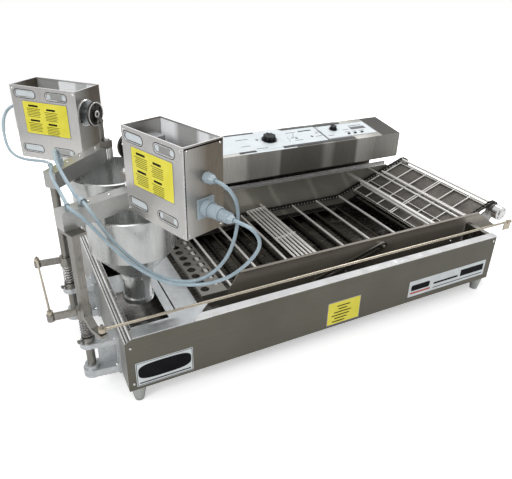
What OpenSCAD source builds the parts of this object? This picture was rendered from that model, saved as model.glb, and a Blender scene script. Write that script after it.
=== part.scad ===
// Table-top automatic donut machine: a frying kettle with a chain conveyor, and two swinging batter depositors
// Machine coordinates: x runs from the depositor end to the discharge end, y from the front panel to the back,
// and z up from the underside of the cabinet. place() moves them to the middle of the footprint.

/* [Cabinet] */
// Length of the cabinet
cabinet_l = 1400; // [1300:10:1500]
// Depth of the cabinet
cabinet_d = 800; // [790:5:860]
// Height of the cabinet's top flange
cabinet_h = 180; // [176:1:186]
// Sheet thickness of the cabinet and the kettle
sheet_t = 2; // [1.5:0.5:3]
// Depth of the bright rim along the front edge
rim_w = 25; // [18:1:26]
// Height of the rim above the top flange
rim_h = 5; // [3:1:8]
// Height of the feet
foot_h = 54; // [30:1:70]
// Diameter of the feet where they meet the cabinet
foot_top_d = 46; // [30:1:48]
// Diameter of the feet at the floor
foot_tip_d = 27; // [18:1:30]

/* [Kettle] */
// Gap from the front panel to the kettle wall
kettle_front = 27; // [26:1:34]
// Gap from the rear panel to the kettle wall
kettle_rear = 42; // [36:1:50]
// Gap from the depositor end to the kettle wall
kettle_left = 28; // [26:1:32]
// Gap from the discharge end to the kettle wall
kettle_right = 20; // [14:1:30]
// Height of the kettle floor
kettle_floor = 12; // [8:1:16]
// Height of the sill that the conveyor leaves over
sill_z = 96; // [80:1:98]
// Height of the polished feed plate
feed_z = 118; // [108:1:126]
// Diameter of the heating element tube
element_d = 12; // [8:1:14]

/* [Conveyor] */
// Front face of the front side plate
plate_y = 145; // [140:1:155]
// Gap from the rear side plate to the back of the cabinet
conveyor_rear = 75; // [70:1:90]
// Thickness of the side plates
plate_t = 3; // [2:0.5:5]
// Top edge of the side plates
plate_top = 208; // [200:1:215]
// Left end of the side plates' top edge
plate_x0 = 402; // [390:1:420]
// Right end of the side plates' top edge
plate_x1 = 1449; // [1430:1:1470]
// Chain pitch
chain_pitch = 15.875; // [15.5:0.125:16]
// Wanted place of the idler shaft, which sets the count of links
idler_aim = 380; // [360:1:400]
// Links from one flight to the next
flight_links = 8; // [4:4:8]
// Diameter of the chain rollers
roller_d = 8; // [7:0.5:9]
// Diameter of the flight rods
flight_d = 10; // [6:0.5:11]
// Height of the frying run of the chain
run_z = 95; // [92:1:98]
// Place where the frying run turns up the exit incline
knee_x = 1170; // [1150:5:1190]
// Teeth on the drive sprockets
sprocket_teeth = 12; // [12:12:12]
// Place of the drive shaft
shaft_x = 1540; // [1530:1:1560]
// Height of the drive shaft
shaft_z = 200; // [196:1:206]
// Diameter of the drive shaft
shaft_d = 20; // [16:1:22]
// Diameter of the cam wheel on the drive shaft
cam_d = 58; // [40:1:64]
// Place of the thick tie rod across the top
tie_x = 1222; // [1200:1:1250]
// Diameter of the thick tie rod
tie_d = 15; // [8:1:16]
// Diameter of the holes in the perforated guard
guard_hole_d = 28; // [20:1:32]
// Pitch of the holes in the perforated guard
guard_pitch = 41; // [38:1:50]

/* [Turner] */
// Place of the turner shaft
turner_x = 770; // [766:1:774]
// Height of the turner shaft
turner_z = 118; // [117:1:122]
// Rods in the turner cradle
turner_rods = 5; // [4:1:5]
// Spacing of the turner rods
turner_pitch = 16; // [14:1:17]

/* [Control box] */
// Left end of the control box
control_x0 = 330; // [320:5:360]
// Gap from the control box to the back of the cabinet
control_rear = 11; // [5:1:18]
// Underside of the control box
control_z = 299; // [290:1:310]
// Height of the control box at its front edge
control_front_h = 107; // [95:1:115]
// Rise of the sloping top
control_rise = 25; // [15:1:35]
// Depth of the control box
control_depth = 182; // [175:1:190]
// Diameter of the thermostat knob
thermostat_d = 64; // [50:1:68]
// Diameter of the speed knob
speed_d = 36; // [28:1:40]

/* [Posts] */
// Distance of the posts from the end of the cabinet
post_out = 75; // [70:1:80]
// Place of the front post along the depth
post_y = 112; // [108:1:116]
// Distance between the posts
post_gap = 293; // [285:1:300]
// Diameter of the posts
post_d = 24; // [20:1:26]
// Radial clearance of running fits
running_gap = 0.05; // [0.03:0.01:0.1]
// Length of the arms that the link joins
arm_l = 83; // [76:1:90]
// Height of the arms
arm_z = 228; // [224:1:232]
// Turns of the springs on the posts
spring_turns = 7; // [4:1:9]

/* [Depositors] */
// Direction of the front channel from the length of the machine
front_angle = 20; // [18:1:22]
// Direction of the rear channel
rear_angle = 44; // [42:1:46]
// Underside of the channels
channel_z = 479; // [475:1:485]
// Width of the channels
channel_w = 40; // [34:1:42]
// Height of the channels
channel_h = 50; // [40:1:54]
// Depth of the motor boxes along the channel
box_u = 121; // [110:1:126]
// Width of the motor boxes
box_v = 238; // [225:1:245]
// Height of the motor boxes
box_h = 233; // [220:1:245]
// Radius of the hopper rim
hopper_r = 125; // [118:1:128]
// Height of the hopper rim
hopper_rim_z = 460; // [455:1:464]
// Height where the hopper's cylinder becomes a cone
hopper_cone_z = 335; // [325:1:345]
// Height where the cone meets the dispensing cylinder
hopper_neck_z = 243; // [235:1:250]
// Height of the nozzle's lower end
nozzle_z = 150; // [144:1:158]
// Outer diameter of the dispensing cylinder
nozzle_d = 82; // [76:1:84]
// Distance from the post to the plunger along the channel
plunger_u = 204; // [200:1:208]
// Distance from the post to the plunger across the channel
plunger_v = 50; // [48:1:54]
// Diameter of the crank disc
crank_d = 74; // [64:1:80]
// Throw of the crank pin
crank_throw = 20; // [14:1:22]

/* [Drive rod] */
// Place of the drive rod along the depth
rod_y = 10; // [8:1:14]
// Height of the drive rod
rod_z = 228; // [224:1:232]
// Diameter of the drive rod
rod_d = 8; // [6:1:10]
// Right end of the drive rod
rod_x1 = 1466; // [1430:1:1480]

/* [Cords] */
// Diameter of the cords
cord_d = 9; // [8:0.5:9]

/* [Hidden] */

fine = 64;
medium = 32;
seat_gap = 0.3;
eps = 1;

// Footprint: arm ends, bearing noses, the front box corner and the back of the cabinet
boss_r = 10;
bearing_r = 38;
post_x = -post_out;
box_z = channel_z;
box_u0 = 161.5;
box_v1 = -11;
box_v0 = box_v1 - box_v;
arm_dx = -arm_l;
arm_dy = 6;
x_min = post_x + arm_dx - boss_r;
x_max = shaft_x + bearing_r;
y_min = post_y + box_u0 * sin(front_angle) + box_v0 * cos(front_angle);
y_max = cabinet_d;

// Cabinet and kettle
conveyor_w = cabinet_d - plate_y - conveyor_rear;
flange_t = 2;
wall_top = cabinet_h - flange_t;
chamfer_x = 22;
chamfer_z = 13;
exit_margin = 10;
exit_y0 = plate_y - exit_margin;
exit_y1 = plate_y + conveyor_w + exit_margin;
kx0 = kettle_left;
cover_x = 195;
cover_run = 70;
cover_step = 66;
kx1 = cabinet_l - kettle_right;
ky0 = kettle_front;
ky1 = cabinet_d - kettle_rear;

// Conveyor
plate_in = plate_y + plate_t;
rear_in = plate_y + conveyor_w - plate_t;
conveyor_mid = plate_y + conveyor_w / 2;
bearing_t = 5;
link_t = 1.5;
link_gap = 0.1;
link_h = 11;
roller_half = 4;
chain_half = roller_half + 2 * link_t + link_gap;
chain_y = plate_in + bearing_t + chain_half + 0.8;
flight_y0 = chain_y + chain_half;
flight_y1 = 2 * conveyor_mid - flight_y0;
sprocket_r = chain_pitch * sprocket_teeth / (2 * PI);
idler_r = 25;
idler_z = run_z - idler_r;
knee_run = shaft_x - knee_x;
knee_rise = shaft_z - run_z;
knee_len = sqrt(knee_run * knee_run + knee_rise * knee_rise);
incline = atan2(knee_rise, knee_run) + asin(sprocket_r / knee_len);
incline_l = sqrt(knee_len * knee_len - sprocket_r * sprocket_r);
return_z = run_z - 2 * idler_r;
tangent_x = shaft_x + sprocket_r * sin(incline);
tangent_z = shaft_z - sprocket_r * cos(incline);
return_l = (tangent_z - return_z) / sin(incline);
knee2_x = tangent_x - (tangent_z - return_z) / tan(incline);
loop_l = knee_x + knee2_x + incline_l + return_l + PI * (sprocket_r + idler_r);
chain_links = flight_links * round((loop_l - 2 * idler_aim) / (flight_links * chain_pitch));
idler_x = (loop_l - chain_links * chain_pitch) / 2;
run_l = knee_x - idler_x;
lower_l = knee2_x - idler_x;
s1 = run_l;
s2 = s1 + incline_l;
s3 = s2 + PI * sprocket_r;
s4 = s3 + return_l;
s5 = s4 + lower_l;
first_flight = 2;

// Point on the chain line at arc length s, counted from the top of the idler
function loop_s(s) = s % (chain_links * chain_pitch);
function chain_at(s) =
    s < s1 ? [idler_x + s, run_z] :
    s < s2 ? [knee_x + (s - s1) * cos(incline), run_z + (s - s1) * sin(incline)] :
    s < s3 ? let (a = 90 + incline - (s - s2) / sprocket_r * 180 / PI)
        [shaft_x + sprocket_r * cos(a), shaft_z + sprocket_r * sin(a)] :
    s < s4 ? [tangent_x - (s - s3) * cos(incline), tangent_z - (s - s3) * sin(incline)] :
    s < s5 ? [knee2_x - (s - s4), return_z] :
    let (a = 270 - (s - s5) / idler_r * 180 / PI)
        [idler_x + idler_r * cos(a), idler_z + idler_r * sin(a)];
function roller_at(i) = chain_at(loop_s(i * chain_pitch));
first_wrap = ceil(s2 / chain_pitch);
sprocket_phase = 90 + incline - (first_wrap * chain_pitch - s2) / sprocket_r * 180 / PI;

// Pivot of the turner lever on the front side plate
lever_x = 955;
lever_z = 184;

// Exit incline: distances below the chain line
wire_r = 2.5;
cross_r = 2;
grid_drop = flight_d / 2 + 0.8 + wire_r;
cross_drop = grid_drop + wire_r + cross_r;
screen_drop = cross_drop + cross_r;
bar_r = 5;
screen_t = 1.5;
bar_drop = screen_drop + screen_t + bar_r + seat_gap;
grid_s0 = 85;
grid_s1 = 374;
grid_y0 = flight_y0 + 6;
grid_y1 = 2 * conveyor_mid - grid_y0;

// Control box
control_x1 = cabinet_l;
control_y = cabinet_d - control_rear - control_depth;
control_y1 = control_y + control_depth;
panel_slope = atan2(control_rise, control_depth);
panel_t = 1.2;
thermostat_spot = [control_x1 - 612, 94];
speed_spot = [control_x1 - 286, 112];
toggle_spots = [[control_x1 - 505, 85], [control_x1 - 379, 100]];
button_spots = [[control_x1 - 241, 53], [control_x1 - 208, 53], [control_x1 - 172, 53]];
module_x = control_x1 - 358;
module_t0 = 32;
module_w = 258;
module_d = 122;
screen_spot = [control_x1 - 204, 87];
screen_w = 79;
screen_d = 24;
spindle_r = 4.9;
ball_r = 3.4;
ball_gap = 0.5;
stem_r = 2.8;
controls = concat(
    [[thermostat_spot[0], thermostat_spot[1], spindle_r + 0.1], [speed_spot[0], speed_spot[1], spindle_r + 0.1]],
    [for (p = toggle_spots) [p[0], p[1], ball_r + ball_gap]],
    [for (p = button_spots) [p[0], p[1], stem_r + seat_gap]]
);

// Depositors
hub_r = 20;
pin_r = 3;
box_t = 2;
nose_r = 36;
box_u1 = box_u0 + box_u;
crank_z = 640;
crank_v = 20;
crank_t = 8;
shaft_gap = 0.3;
lever_u = -12;
lever_v = -33;
lever_pin = [27, -102];
gland_r = 13;
gland_u = 228;
gland_z = 626;
socket_u = 222;
socket_z = 550;
cord_r = cord_d / 2;
clip_z = channel_z + channel_h + 11;
clip_u = 40;
clip_bore = cord_r + 3.2;
clip_l = 16;
axis_bore = cord_r + 0.8;
axis_l = 8;

module place() {
    translate([-(x_min + x_max) / 2, -(y_min + y_max) / 2, foot_h]) children();
}

module at_front() {
    translate([post_x, post_y, 0]) rotate(front_angle) children();
}

module at_rear() {
    translate([post_x, post_y + post_gap, 0]) rotate(rear_angle) mirror([0, 1, 0]) children();
}

// Round bar along y
module bar_y(x, z, y0, y1, r) {
    translate([x, y0, z]) rotate([-90, 0, 0]) cylinder(h = y1 - y0, r = r, $fn = medium);
}

// Round bar along x
module bar_x(y, z, x0, x1, r) {
    translate([x0, y, z]) rotate([0, 90, 0]) cylinder(h = x1 - x0, r = r, $fn = medium);
}

// Profile drawn in x and z, extruded from y0 to y1
module profile_xz(y0, y1) {
    translate([0, y1, 0]) rotate([90, 0, 0]) linear_extrude(y1 - y0) children();
}

// Frame of the exit incline: s along it, y across, n above the chain line
module on_incline() {
    translate([knee_x, 0, run_z]) rotate([0, -incline, 0]) children();
}

module cabinet() {
    outer = [[0, 0], [cabinet_l, 0], [cabinet_l, wall_top], [chamfer_x, wall_top], [0, wall_top - chamfer_z]];
    inner = [
        [sheet_t, sheet_t], [cabinet_l - sheet_t, sheet_t], [cabinet_l - sheet_t, wall_top + eps],
        [chamfer_x + sheet_t, wall_top + eps], [chamfer_x + sheet_t, wall_top - sheet_t],
        [sheet_t, wall_top - chamfer_z - sheet_t]
    ];
    color([0.45, 0.43, 0.4]) difference() {
        profile_xz(0, cabinet_d) polygon(outer);
        profile_xz(sheet_t, cabinet_d - sheet_t) polygon(inner);
        translate([cabinet_l - sheet_t - eps, exit_y0, sill_z]) cube([sheet_t + 2 * eps, exit_y1 - exit_y0, cabinet_h]);
    }
}

module kettle() {
    well_l = kx1 - kx0;
    well_d = ky1 - ky0;
    cheek = exit_y0 - sheet_t;
    color([0.6, 0.6, 0.58]) union() {
        difference() {
            union() {
                translate([chamfer_x, 0, wall_top]) cube([cabinet_l - chamfer_x, cabinet_d, flange_t]);
                translate([kx0 - sheet_t, ky0 - sheet_t, kettle_floor])
                    cube([well_l + 2 * sheet_t, well_d + 2 * sheet_t, wall_top - kettle_floor]);
                translate([kx1, cheek, sill_z - sheet_t])
                    cube([kettle_right, exit_y1 - exit_y0 + 2 * sheet_t, wall_top - sill_z + sheet_t]);
            }
            translate([kx0, ky0, kettle_floor + sheet_t]) cube([well_l, well_d, cabinet_h]);
            translate([kx1 - eps - sheet_t, exit_y0, sill_z])
                cube([kettle_right + sheet_t + 2 * eps, exit_y1 - exit_y0, cabinet_h]);
            translate([cabinet_l - sheet_t, cheek - eps, 0])
                cube([sheet_t + eps, exit_y1 - exit_y0 + 2 * sheet_t + 2 * eps, wall_top]);
        }
    }
}

module front_rim() {
    hem = 3;
    start = cover_x + 3;
    color([0.85, 0.85, 0.85]) translate([0, 0, cabinet_h]) difference() {
        linear_extrude(rim_h) polygon([
            [start, 0], [cabinet_l, 0], [cabinet_l, rim_w], [start + rim_w * cover_run / cover_step, rim_w]
        ]);
        translate([start - eps, hem, -eps]) cube([cabinet_l, rim_w - 2 * hem, rim_h - sheet_t / 2 + eps]);
    }
}

module deck_cover() {
    lip = 12;
    color([0.8, 0.8, 0.8]) translate([0, 0, cabinet_h]) linear_extrude(sheet_t) polygon([
        [chamfer_x, 0], [cover_x, 0], [cover_x + cover_run, cover_step], [cover_x + cover_run - lip, cover_step + lip],
        [cover_x - 5, lip + rim_w], [chamfer_x, lip + rim_w]
    ]);
}

module feed_plate() {
    edge = 262;
    window_l = 116;
    window_w = 190;
    slot_w = 5;
    windows = [post_y + 108, post_y + post_gap + 108];
    color([0.78, 0.78, 0.78]) difference() {
        union() {
            translate([kx0, ky0, feed_z]) cube([edge - kx0, ky1 - ky0, sheet_t]);
            translate([edge - sheet_t, ky0, feed_z - 16]) cube([sheet_t, ky1 - ky0, 16]);
        }
        for (y = windows) translate([44, y - window_w / 2, feed_z - eps]) cube([window_l, window_w, sheet_t + 2 * eps]);
        translate([186, 150, feed_z - eps]) cube([slot_w, 420, sheet_t + 2 * eps]);
        translate([60, 106, feed_z - eps]) cube([150, slot_w, sheet_t + 2 * eps]);
    }
}

module feet() {
    in_x = 30;
    in_y = 24;
    pad_h = 6;
    color([0.7, 0.7, 0.7]) for (x = [in_x, cabinet_l - in_x], y = [in_y, cabinet_d - in_y]) {
        translate([x, y, -foot_h]) {
            cylinder(h = foot_h - pad_h, d1 = foot_tip_d, d2 = foot_top_d, $fn = medium);
            translate([0, 0, foot_h - pad_h]) cylinder(h = pad_h, d = foot_top_d, $fn = medium);
        }
    }
}

// Hairpin tubes just above the kettle floor, with legs up the rear wall into the control box
module heating_elements() {
    r = element_d / 2;
    bend = 34;
    z = kettle_floor + sheet_t + r + seat_gap;
    y0 = plate_y + 77;
    leg_y = ky1 - r - 3;
    leg_top = control_z - seat_gap;
    count = 5;
    first_x = plate_x0 + 58;
    pitch = (knee_x - 150 - first_x) / (count - 1);
    color([0.25, 0.24, 0.23]) for (i = [0:count - 1]) translate([first_x + i * pitch, 0, 0]) union() {
        for (x = [-bend, bend]) {
            bar_y(x, z, y0, leg_y, r);
            translate([x, leg_y, z - r]) cylinder(h = leg_top - z + r, r = r, $fn = medium);
        }
        translate([0, y0, z]) rotate(180) rotate_extrude(angle = 180, $fn = medium) translate([bend, 0]) circle(r, $fn = medium);
    }
}

// Left edge of the side plates at a height
function plate_edge(z) = idler_x - 50 + (z - 92) / (plate_top - 92) * (plate_x0 - idler_x + 50);

// Outline of a side plate, with a slanted left end, a bevelled right end and two feet on the kettle floor
module plate_outline() {
    low = 34;
    foot_l = 24;
    seat_z = kettle_floor + sheet_t + seat_gap;
    for (x = [idler_x - 40, knee2_x - 60]) translate([x, seat_z]) square([foot_l, low - seat_z + eps]);
    polygon([
        [plate_x0, plate_top], [plate_x1, plate_top], [shaft_x + 25, 129], [kx1 - 2, sill_z + 4],
        [knee2_x - 20, low], [idler_x - 42, low], [idler_x - 50, 92]
    ]);
}

module side_plate(y0) {
    difference() {
        profile_xz(y0, y0 + plate_t) plate_outline();
        bar_y(idler_x, idler_z, y0 - eps, y0 + plate_t + eps, 8 + running_gap);
        bar_y(turner_x, turner_z, y0 - eps, y0 + plate_t + eps, 6 + running_gap);
    }
}

module front_side_plate() {
    fold = 9;
    color([0.55, 0.53, 0.5]) union() {
        side_plate(plate_y);
        translate([plate_x0, plate_y - fold, plate_top - plate_t]) cube([plate_x1 - plate_x0, fold, plate_t]);
        bar_y(lever_x, lever_z, plate_y - 34, plate_y, 5);
        bar_y(lever_x, lever_z, plate_y - 20, plate_y, 9);
    }
}

module rear_side_plate() {
    rail_w = 14;
    lip = 15;
    y0 = rear_in;
    color([0.75, 0.75, 0.74]) union() {
        side_plate(y0);
        translate([plate_x0, y0 + plate_t, plate_top - plate_t]) cube([plate_x1 - plate_x0, rail_w, plate_t]);
        translate([plate_x0, y0 + rail_w, plate_top - plate_t]) cube([plate_x1 - plate_x0, plate_t, lip + plate_t]);
    }
}

// Strips that the chains run on, under the frying run, the incline and the return run
module chain_rails() {
    rail_t = 2;
    drop = link_h / 2 + seat_gap + rail_t;
    reach = chain_y + chain_half - plate_in;
    tab = 7;
    rail_short = 93.4;
    color([0.5, 0.5, 0.5]) for (y = [plate_in, rear_in - reach]) {
        wall = y == plate_in ? plate_in : rear_in - rail_t;
        translate([idler_x + 32, y, run_z - drop]) cube([run_l - 40, reach, rail_t]);
        translate([idler_x + 32, wall, run_z - drop - tab]) cube([run_l - 40, rail_t, tab]);
        on_incline() translate([12, y, -drop]) cube([incline_l - rail_short, reach, rail_t]);
        on_incline() translate([12, wall, -drop - tab]) cube([incline_l - rail_short, rail_t, tab]);
        translate([idler_x, y, return_z - drop]) cube([lower_l - 12, reach, rail_t]);
    }
}

// Thick top rod, a thinner rod above the incline, and the bars that carry the exit screen
module tie_rods() {
    color([0.85, 0.85, 0.84]) {
        bar_y(tie_x, plate_top - tie_d / 2 - 0.5, plate_in, rear_in, tie_d / 2);
        bar_y(plate_x1 - 104, plate_top - 4, plate_in, rear_in, 4);
        for (s = [grid_s0 + 8, (grid_s0 + grid_s1) / 2, 275]) on_incline() bar_y(s, -bar_drop, plate_in, rear_in, bar_r);
    }
}

module link_plate(r) {
    translate([0, -r]) square([chain_pitch, 2 * r]);
    circle(r, $fn = 16);
    translate([chain_pitch, 0]) circle(r, $fn = 16);
}

// One link between two neighbouring rollers, drawn along x from the first roller
module chain_link(inner) {
    lift = inner ? roller_half : roller_half + link_t + link_gap;
    for (side = [-1, 1]) {
        y = side < 0 ? -lift - link_t : lift;
        profile_xz(y, y + link_t) link_plate(link_h / 2 - (inner ? 0 : 0.5));
    }
    if (inner) for (x = [0, chain_pitch]) translate([x, -roller_half, 0]) rotate([-90, 0, 0])
        cylinder(h = 2 * roller_half, d = roller_d, $fn = 16);
}

module chain() {
    for (i = [0:chain_links - 1]) {
        a = roller_at(i);
        b = roller_at(i + 1);
        translate([a[0], 0, a[1]]) rotate([0, -atan2(b[1] - a[1], b[0] - a[0]), 0]) chain_link(i % 2 == 0);
    }
}

module conveyor_chains() {
    color([0.22, 0.21, 0.2]) {
        translate([0, chain_y, 0]) chain();
        translate([0, 2 * conveyor_mid - chain_y, 0]) chain();
    }
}

module flights() {
    count = floor(chain_links / flight_links);
    color([0.85, 0.84, 0.82]) for (k = [0:count - 1]) {
        p = roller_at(first_flight + k * flight_links);
        bar_y(p[0], p[1], flight_y0, flight_y1, flight_d / 2);
    }
}

// Sheet with staggered rows of round holes, with its ends folded down against the side plates
module perforated_guard() {
    x0 = plate_x0 - 128;
    guard_w = 85;
    z = plate_top - 60;
    z_low = run_z + 5;
    t = 2;
    fold = 12;
    y0 = plate_in;
    y1 = rear_in;
    rows = floor((y1 - y0 - 40) / guard_pitch);
    color([0.6, 0.59, 0.57]) union() {
        difference() {
            translate([x0, y0, z]) cube([guard_w, y1 - y0, t]);
            for (i = [0:rows - 1], j = [0:1]) {
                y = y0 + 30 + (i + j * 0.5) * guard_pitch;
                translate([x0 + 22 + j * guard_pitch, y, z - eps]) cylinder(h = t + 2 * eps, d = guard_hole_d, $fn = medium);
            }
        }
        for (x = [x0, x0 + guard_w - t]) translate([x, y0, z - fold]) cube([t, y1 - y0, fold]);
    }
    for (y = [plate_y, rear_in]) color([0.6, 0.59, 0.57]) profile_xz(y, y + plate_t)
        polygon([[x0, z - fold], [x0, z + t], [plate_edge(z + t) - seat_gap, z + t],
            [plate_edge(z_low) - seat_gap, z_low], [x0 + 30, z_low]]);
}

module exit_grid() {
    wires = [grid_y0, grid_y0 + 85, grid_y0 + 170, conveyor_mid - 6, conveyor_mid + 6, grid_y1 - 170, grid_y1 - 85, grid_y1];
    crosses = 4;
    color([0.85, 0.83, 0.8]) on_incline() union() {
        for (y = wires) translate([grid_s0, y, -grid_drop]) rotate([0, 90, 0]) cylinder(h = grid_s1 - grid_s0, r = wire_r, $fn = 20);
        for (i = [0:crosses - 1]) {
            s = grid_s0 + 6 + i * (grid_s1 - grid_s0 - 12) / (crosses - 1);
            bar_y(s, -grid_drop - wire_r, grid_y0, grid_y1, cross_r);
        }
    }
}

module exit_screen() {
    color([0.35, 0.34, 0.32]) on_incline() translate([grid_s0 + 2, grid_y0 - 2, -screen_drop - screen_t])
        cube([grid_s1 - grid_s0 - 4, grid_y1 - grid_y0 + 4, screen_t]);
}

// Plates bolted inside the side plates, which carry the drive shaft above the bevelled ends
module shaft_bearings() {
    foot = [
        [shaft_x - 78, shaft_z - 68], [shaft_x - 24, shaft_z - 68], [shaft_x + 6, shaft_z - 30], [shaft_x, shaft_z + 26],
        [shaft_x - 30, shaft_z + 10], [shaft_x - 88, shaft_z - 24]
    ];
    color([0.5, 0.48, 0.45]) for (y = [plate_in, rear_in - bearing_t]) difference() {
        union() {
            profile_xz(y, y + bearing_t) polygon(foot);
            bar_y(shaft_x, shaft_z, y, y + bearing_t, 26);
            profile_xz(y, y + bearing_t) translate([shaft_x - 6, shaft_z - 8]) square([bearing_r + 6, 16]);
        }
        bar_y(shaft_x, shaft_z, y - eps, y + bearing_t + eps, shaft_d / 2 + running_gap);
    }
}

// Sprocket drawn in x and z: its low teeth stay inside the rollers, so that it turns under the fixed chain
module sprocket_outline() {
    difference() {
        circle(sprocket_r - roller_d / 2 - seat_gap, $fn = fine);
        for (i = [0:sprocket_teeth - 1]) rotate(sprocket_phase + i * 360 / sprocket_teeth)
            translate([sprocket_r, 0]) circle(0.8 * roller_d, $fn = 24);
    }
}

module drive_shaft() {
    sprocket_half = roller_half - 0.6;
    color([0.6, 0.58, 0.55]) union() {
        bar_y(shaft_x, shaft_z, 136, 2 * conveyor_mid - 136, shaft_d / 2);
        for (y = [chain_y, 2 * conveyor_mid - chain_y])
            translate([shaft_x, 0, shaft_z]) profile_xz(y - sprocket_half, y + sprocket_half) sprocket_outline();
    }
}

module cam_wheel() {
    y0 = 108;
    cam_w = 26;
    hub_l = 4;
    color([0.8, 0.8, 0.8]) difference() {
        union() {
            bar_y(shaft_x, shaft_z, y0, y0 + cam_w, cam_d / 2);
            bar_y(shaft_x, shaft_z, y0 - hub_l, y0 + eps, 13);
        }
        for (a = [45:90:315]) translate([shaft_x + 20 * cos(a), 0, shaft_z + 20 * sin(a)]) bar_y(0, 0, y0 - eps, y0 + 6, 4);
    }
    color([0.8, 0.8, 0.8]) bar_y(shaft_x, shaft_z, y0 + cam_w, 136, shaft_d / 2 + 4);
}

module idler_shaft() {
    wheel_r = idler_r - roller_d / 2 - seat_gap;
    wheel_half = roller_half - 0.6;
    end = 4;
    color([0.6, 0.6, 0.6]) union() {
        bar_y(idler_x, idler_z, plate_y - end, rear_in + plate_t + end, 8);
        for (y = [chain_y, 2 * conveyor_mid - chain_y]) bar_y(idler_x, idler_z, y - wheel_half, y + wheel_half, wheel_r);
    }
}

// Cradle that lifts the donuts over: a shaft, its end arms, a row of close rods and a crank outside the front plate
module turner_cradle() {
    arm_t = 4;
    reach = turner_rods * turner_pitch;
    y0 = flight_y0 + 8;
    y1 = 2 * conveyor_mid - y0;
    rod_r = 4.5;
    drop = 6;
    crank_l = 44;
    crank_y = plate_y - 17;
    color([0.88, 0.87, 0.85]) union() {
        bar_y(turner_x, turner_z, crank_y, rear_in + plate_t + 6, 6);
        for (y = [y0, conveyor_mid - arm_t / 2, y1 - arm_t]) profile_xz(y, y + arm_t) polygon([
            [turner_x + 8, turner_z + 7], [turner_x - 8, turner_z + 7], [turner_x - reach - 4, turner_z - drop + 5],
            [turner_x - reach - 4, turner_z - drop - 4], [turner_x + 8, turner_z - 9]
        ]);
        for (i = [1:turner_rods]) bar_y(turner_x - i * turner_pitch, turner_z - drop * i / turner_rods, y0, y1, rod_r);
        profile_xz(crank_y, crank_y + 6) translate([turner_x, turner_z]) union() {
            circle(11, $fn = medium);
            rotate(-160) translate([0, -6]) square([crank_l - 8, 12]);
            rotate(-160) translate([crank_l - 8, 0]) circle(8, $fn = medium);
        }
    }
}

// Twin-bar lever outside the front plate, on a pin of that plate
module turner_lever() {
    y0 = plate_y - 28;
    bar_t = 7;
    bar_lift = 10;
    bar_half = 5.5;
    tail = [-282, -80];
    color([0.5, 0.48, 0.46]) difference() {
        union() {
            for (lift = [-bar_lift, bar_lift]) profile_xz(y0, y0 + bar_t) translate([lever_x, lever_z]) polygon([
                [tail[0], tail[1] + lift - bar_half], [0, lift - bar_half],
                [0, lift + bar_half], [tail[0], tail[1] + lift + bar_half]
            ]);
            bar_y(lever_x, lever_z, y0 - 2, y0 + bar_t, 13);
            bar_y(lever_x + tail[0] / 2, lever_z + tail[1] / 2, y0, y0 + bar_t, 12);
            bar_y(lever_x + tail[0], lever_z + tail[1], y0 - 2, y0 + bar_t, 13);
        }
        bar_y(lever_x, lever_z, y0 - 2 - eps, y0 + bar_t + eps, 5 + running_gap);
    }
}

module control_plinth() {
    front = cabinet_d - 35;
    back = cabinet_d - 13;
    z0 = cabinet_h;
    color([0.4, 0.39, 0.37]) difference() {
        translate([control_x0 + 30, front, z0]) cube([control_x1 - control_x0 - 50, back - front, control_z - z0]);
        translate([control_x0 + 30 + sheet_t, front + sheet_t, z0 - eps])
            cube([control_x1 - control_x0 - 50 - 2 * sheet_t, back - front - 2 * sheet_t, control_z - z0 + 2 * eps]);
    }
}

// Profile of the control box in y and z
module control_outline(inset) {
    polygon([
        [control_y + inset, control_z + inset], [control_y1 - inset, control_z + inset],
        [control_y1 - inset, control_z + control_front_h + control_rise - 1.02 * inset],
        [control_y + inset, control_z + control_front_h - 1.02 * inset]
    ]);
}

module along_x(x0, x1) {
    translate([x0, 0, 0]) rotate([90, 0, 90]) linear_extrude(x1 - x0) children();
}

module control_case() {
    color([0.62, 0.6, 0.57]) difference() {
        along_x(control_x0, control_x1) control_outline(0);
        along_x(control_x0 + sheet_t, control_x1 - sheet_t) control_outline(sheet_t);
        translate([control_x0 + 60, ky1 - 28, control_z - eps]) cube([control_x1 - control_x0 - 110, 30, sheet_t + 2 * eps]);
        for (c = controls) on_panel(c[0], c[1]) translate([0, 0, -8]) cylinder(h = 12, r = c[2], $fn = 24);
    }
}

// Frame on the sloping top: t up the slope, z out of it
module on_panel(x, t) {
    translate([x, control_y, control_z + control_front_h]) rotate([panel_slope, 0, 0]) translate([0, t, 0]) children();
}

module control_panel() {
    margin = 18;
    color([0.88, 0.9, 0.92]) difference() {
        union() {
            on_panel(control_x0 + 20, margin) cube([module_x - control_x0 - 26, control_depth - 2 * margin + 3, panel_t]);
            on_panel(module_x, module_t0) cube([module_w, module_d, panel_t]);
            for (c = toggle_spots) on_panel(c[0], c[1]) cylinder(h = panel_t + 4, r = 6, $fn = 6);
        }
        for (c = controls) on_panel(c[0], c[1]) translate([0, 0, -eps]) cylinder(h = 8, r = c[2], $fn = 24);
        on_panel(screen_spot[0], screen_spot[1]) translate([0, 0, -eps]) cube([screen_w, screen_d, panel_t + 2 * eps]);
    }
    color([0.1, 0.12, 0.12]) on_panel(screen_spot[0] + seat_gap, screen_spot[1] + seat_gap)
        cube([screen_w - 2 * seat_gap, screen_d - 2 * seat_gap, panel_t - seat_gap]);
}

// Lobed knob with a skirt and a spindle through the panel
module lobed_knob(d, lobes, h) {
    translate([0, 0, -6]) cylinder(h = 7 + panel_t, r = spindle_r, $fn = 24);
    translate([0, 0, panel_t + seat_gap]) {
        cylinder(h = 4, d = d, $fn = fine);
        linear_extrude(h) union() {
            circle(d * 0.34, $fn = fine);
            for (i = [0:lobes - 1]) rotate(i * 360 / lobes) translate([d * 0.3, 0]) circle(d * 0.11, $fn = 24);
        }
        translate([-1.5, 0, h]) cube([3, d * 0.36, 1]);
    }
}

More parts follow.
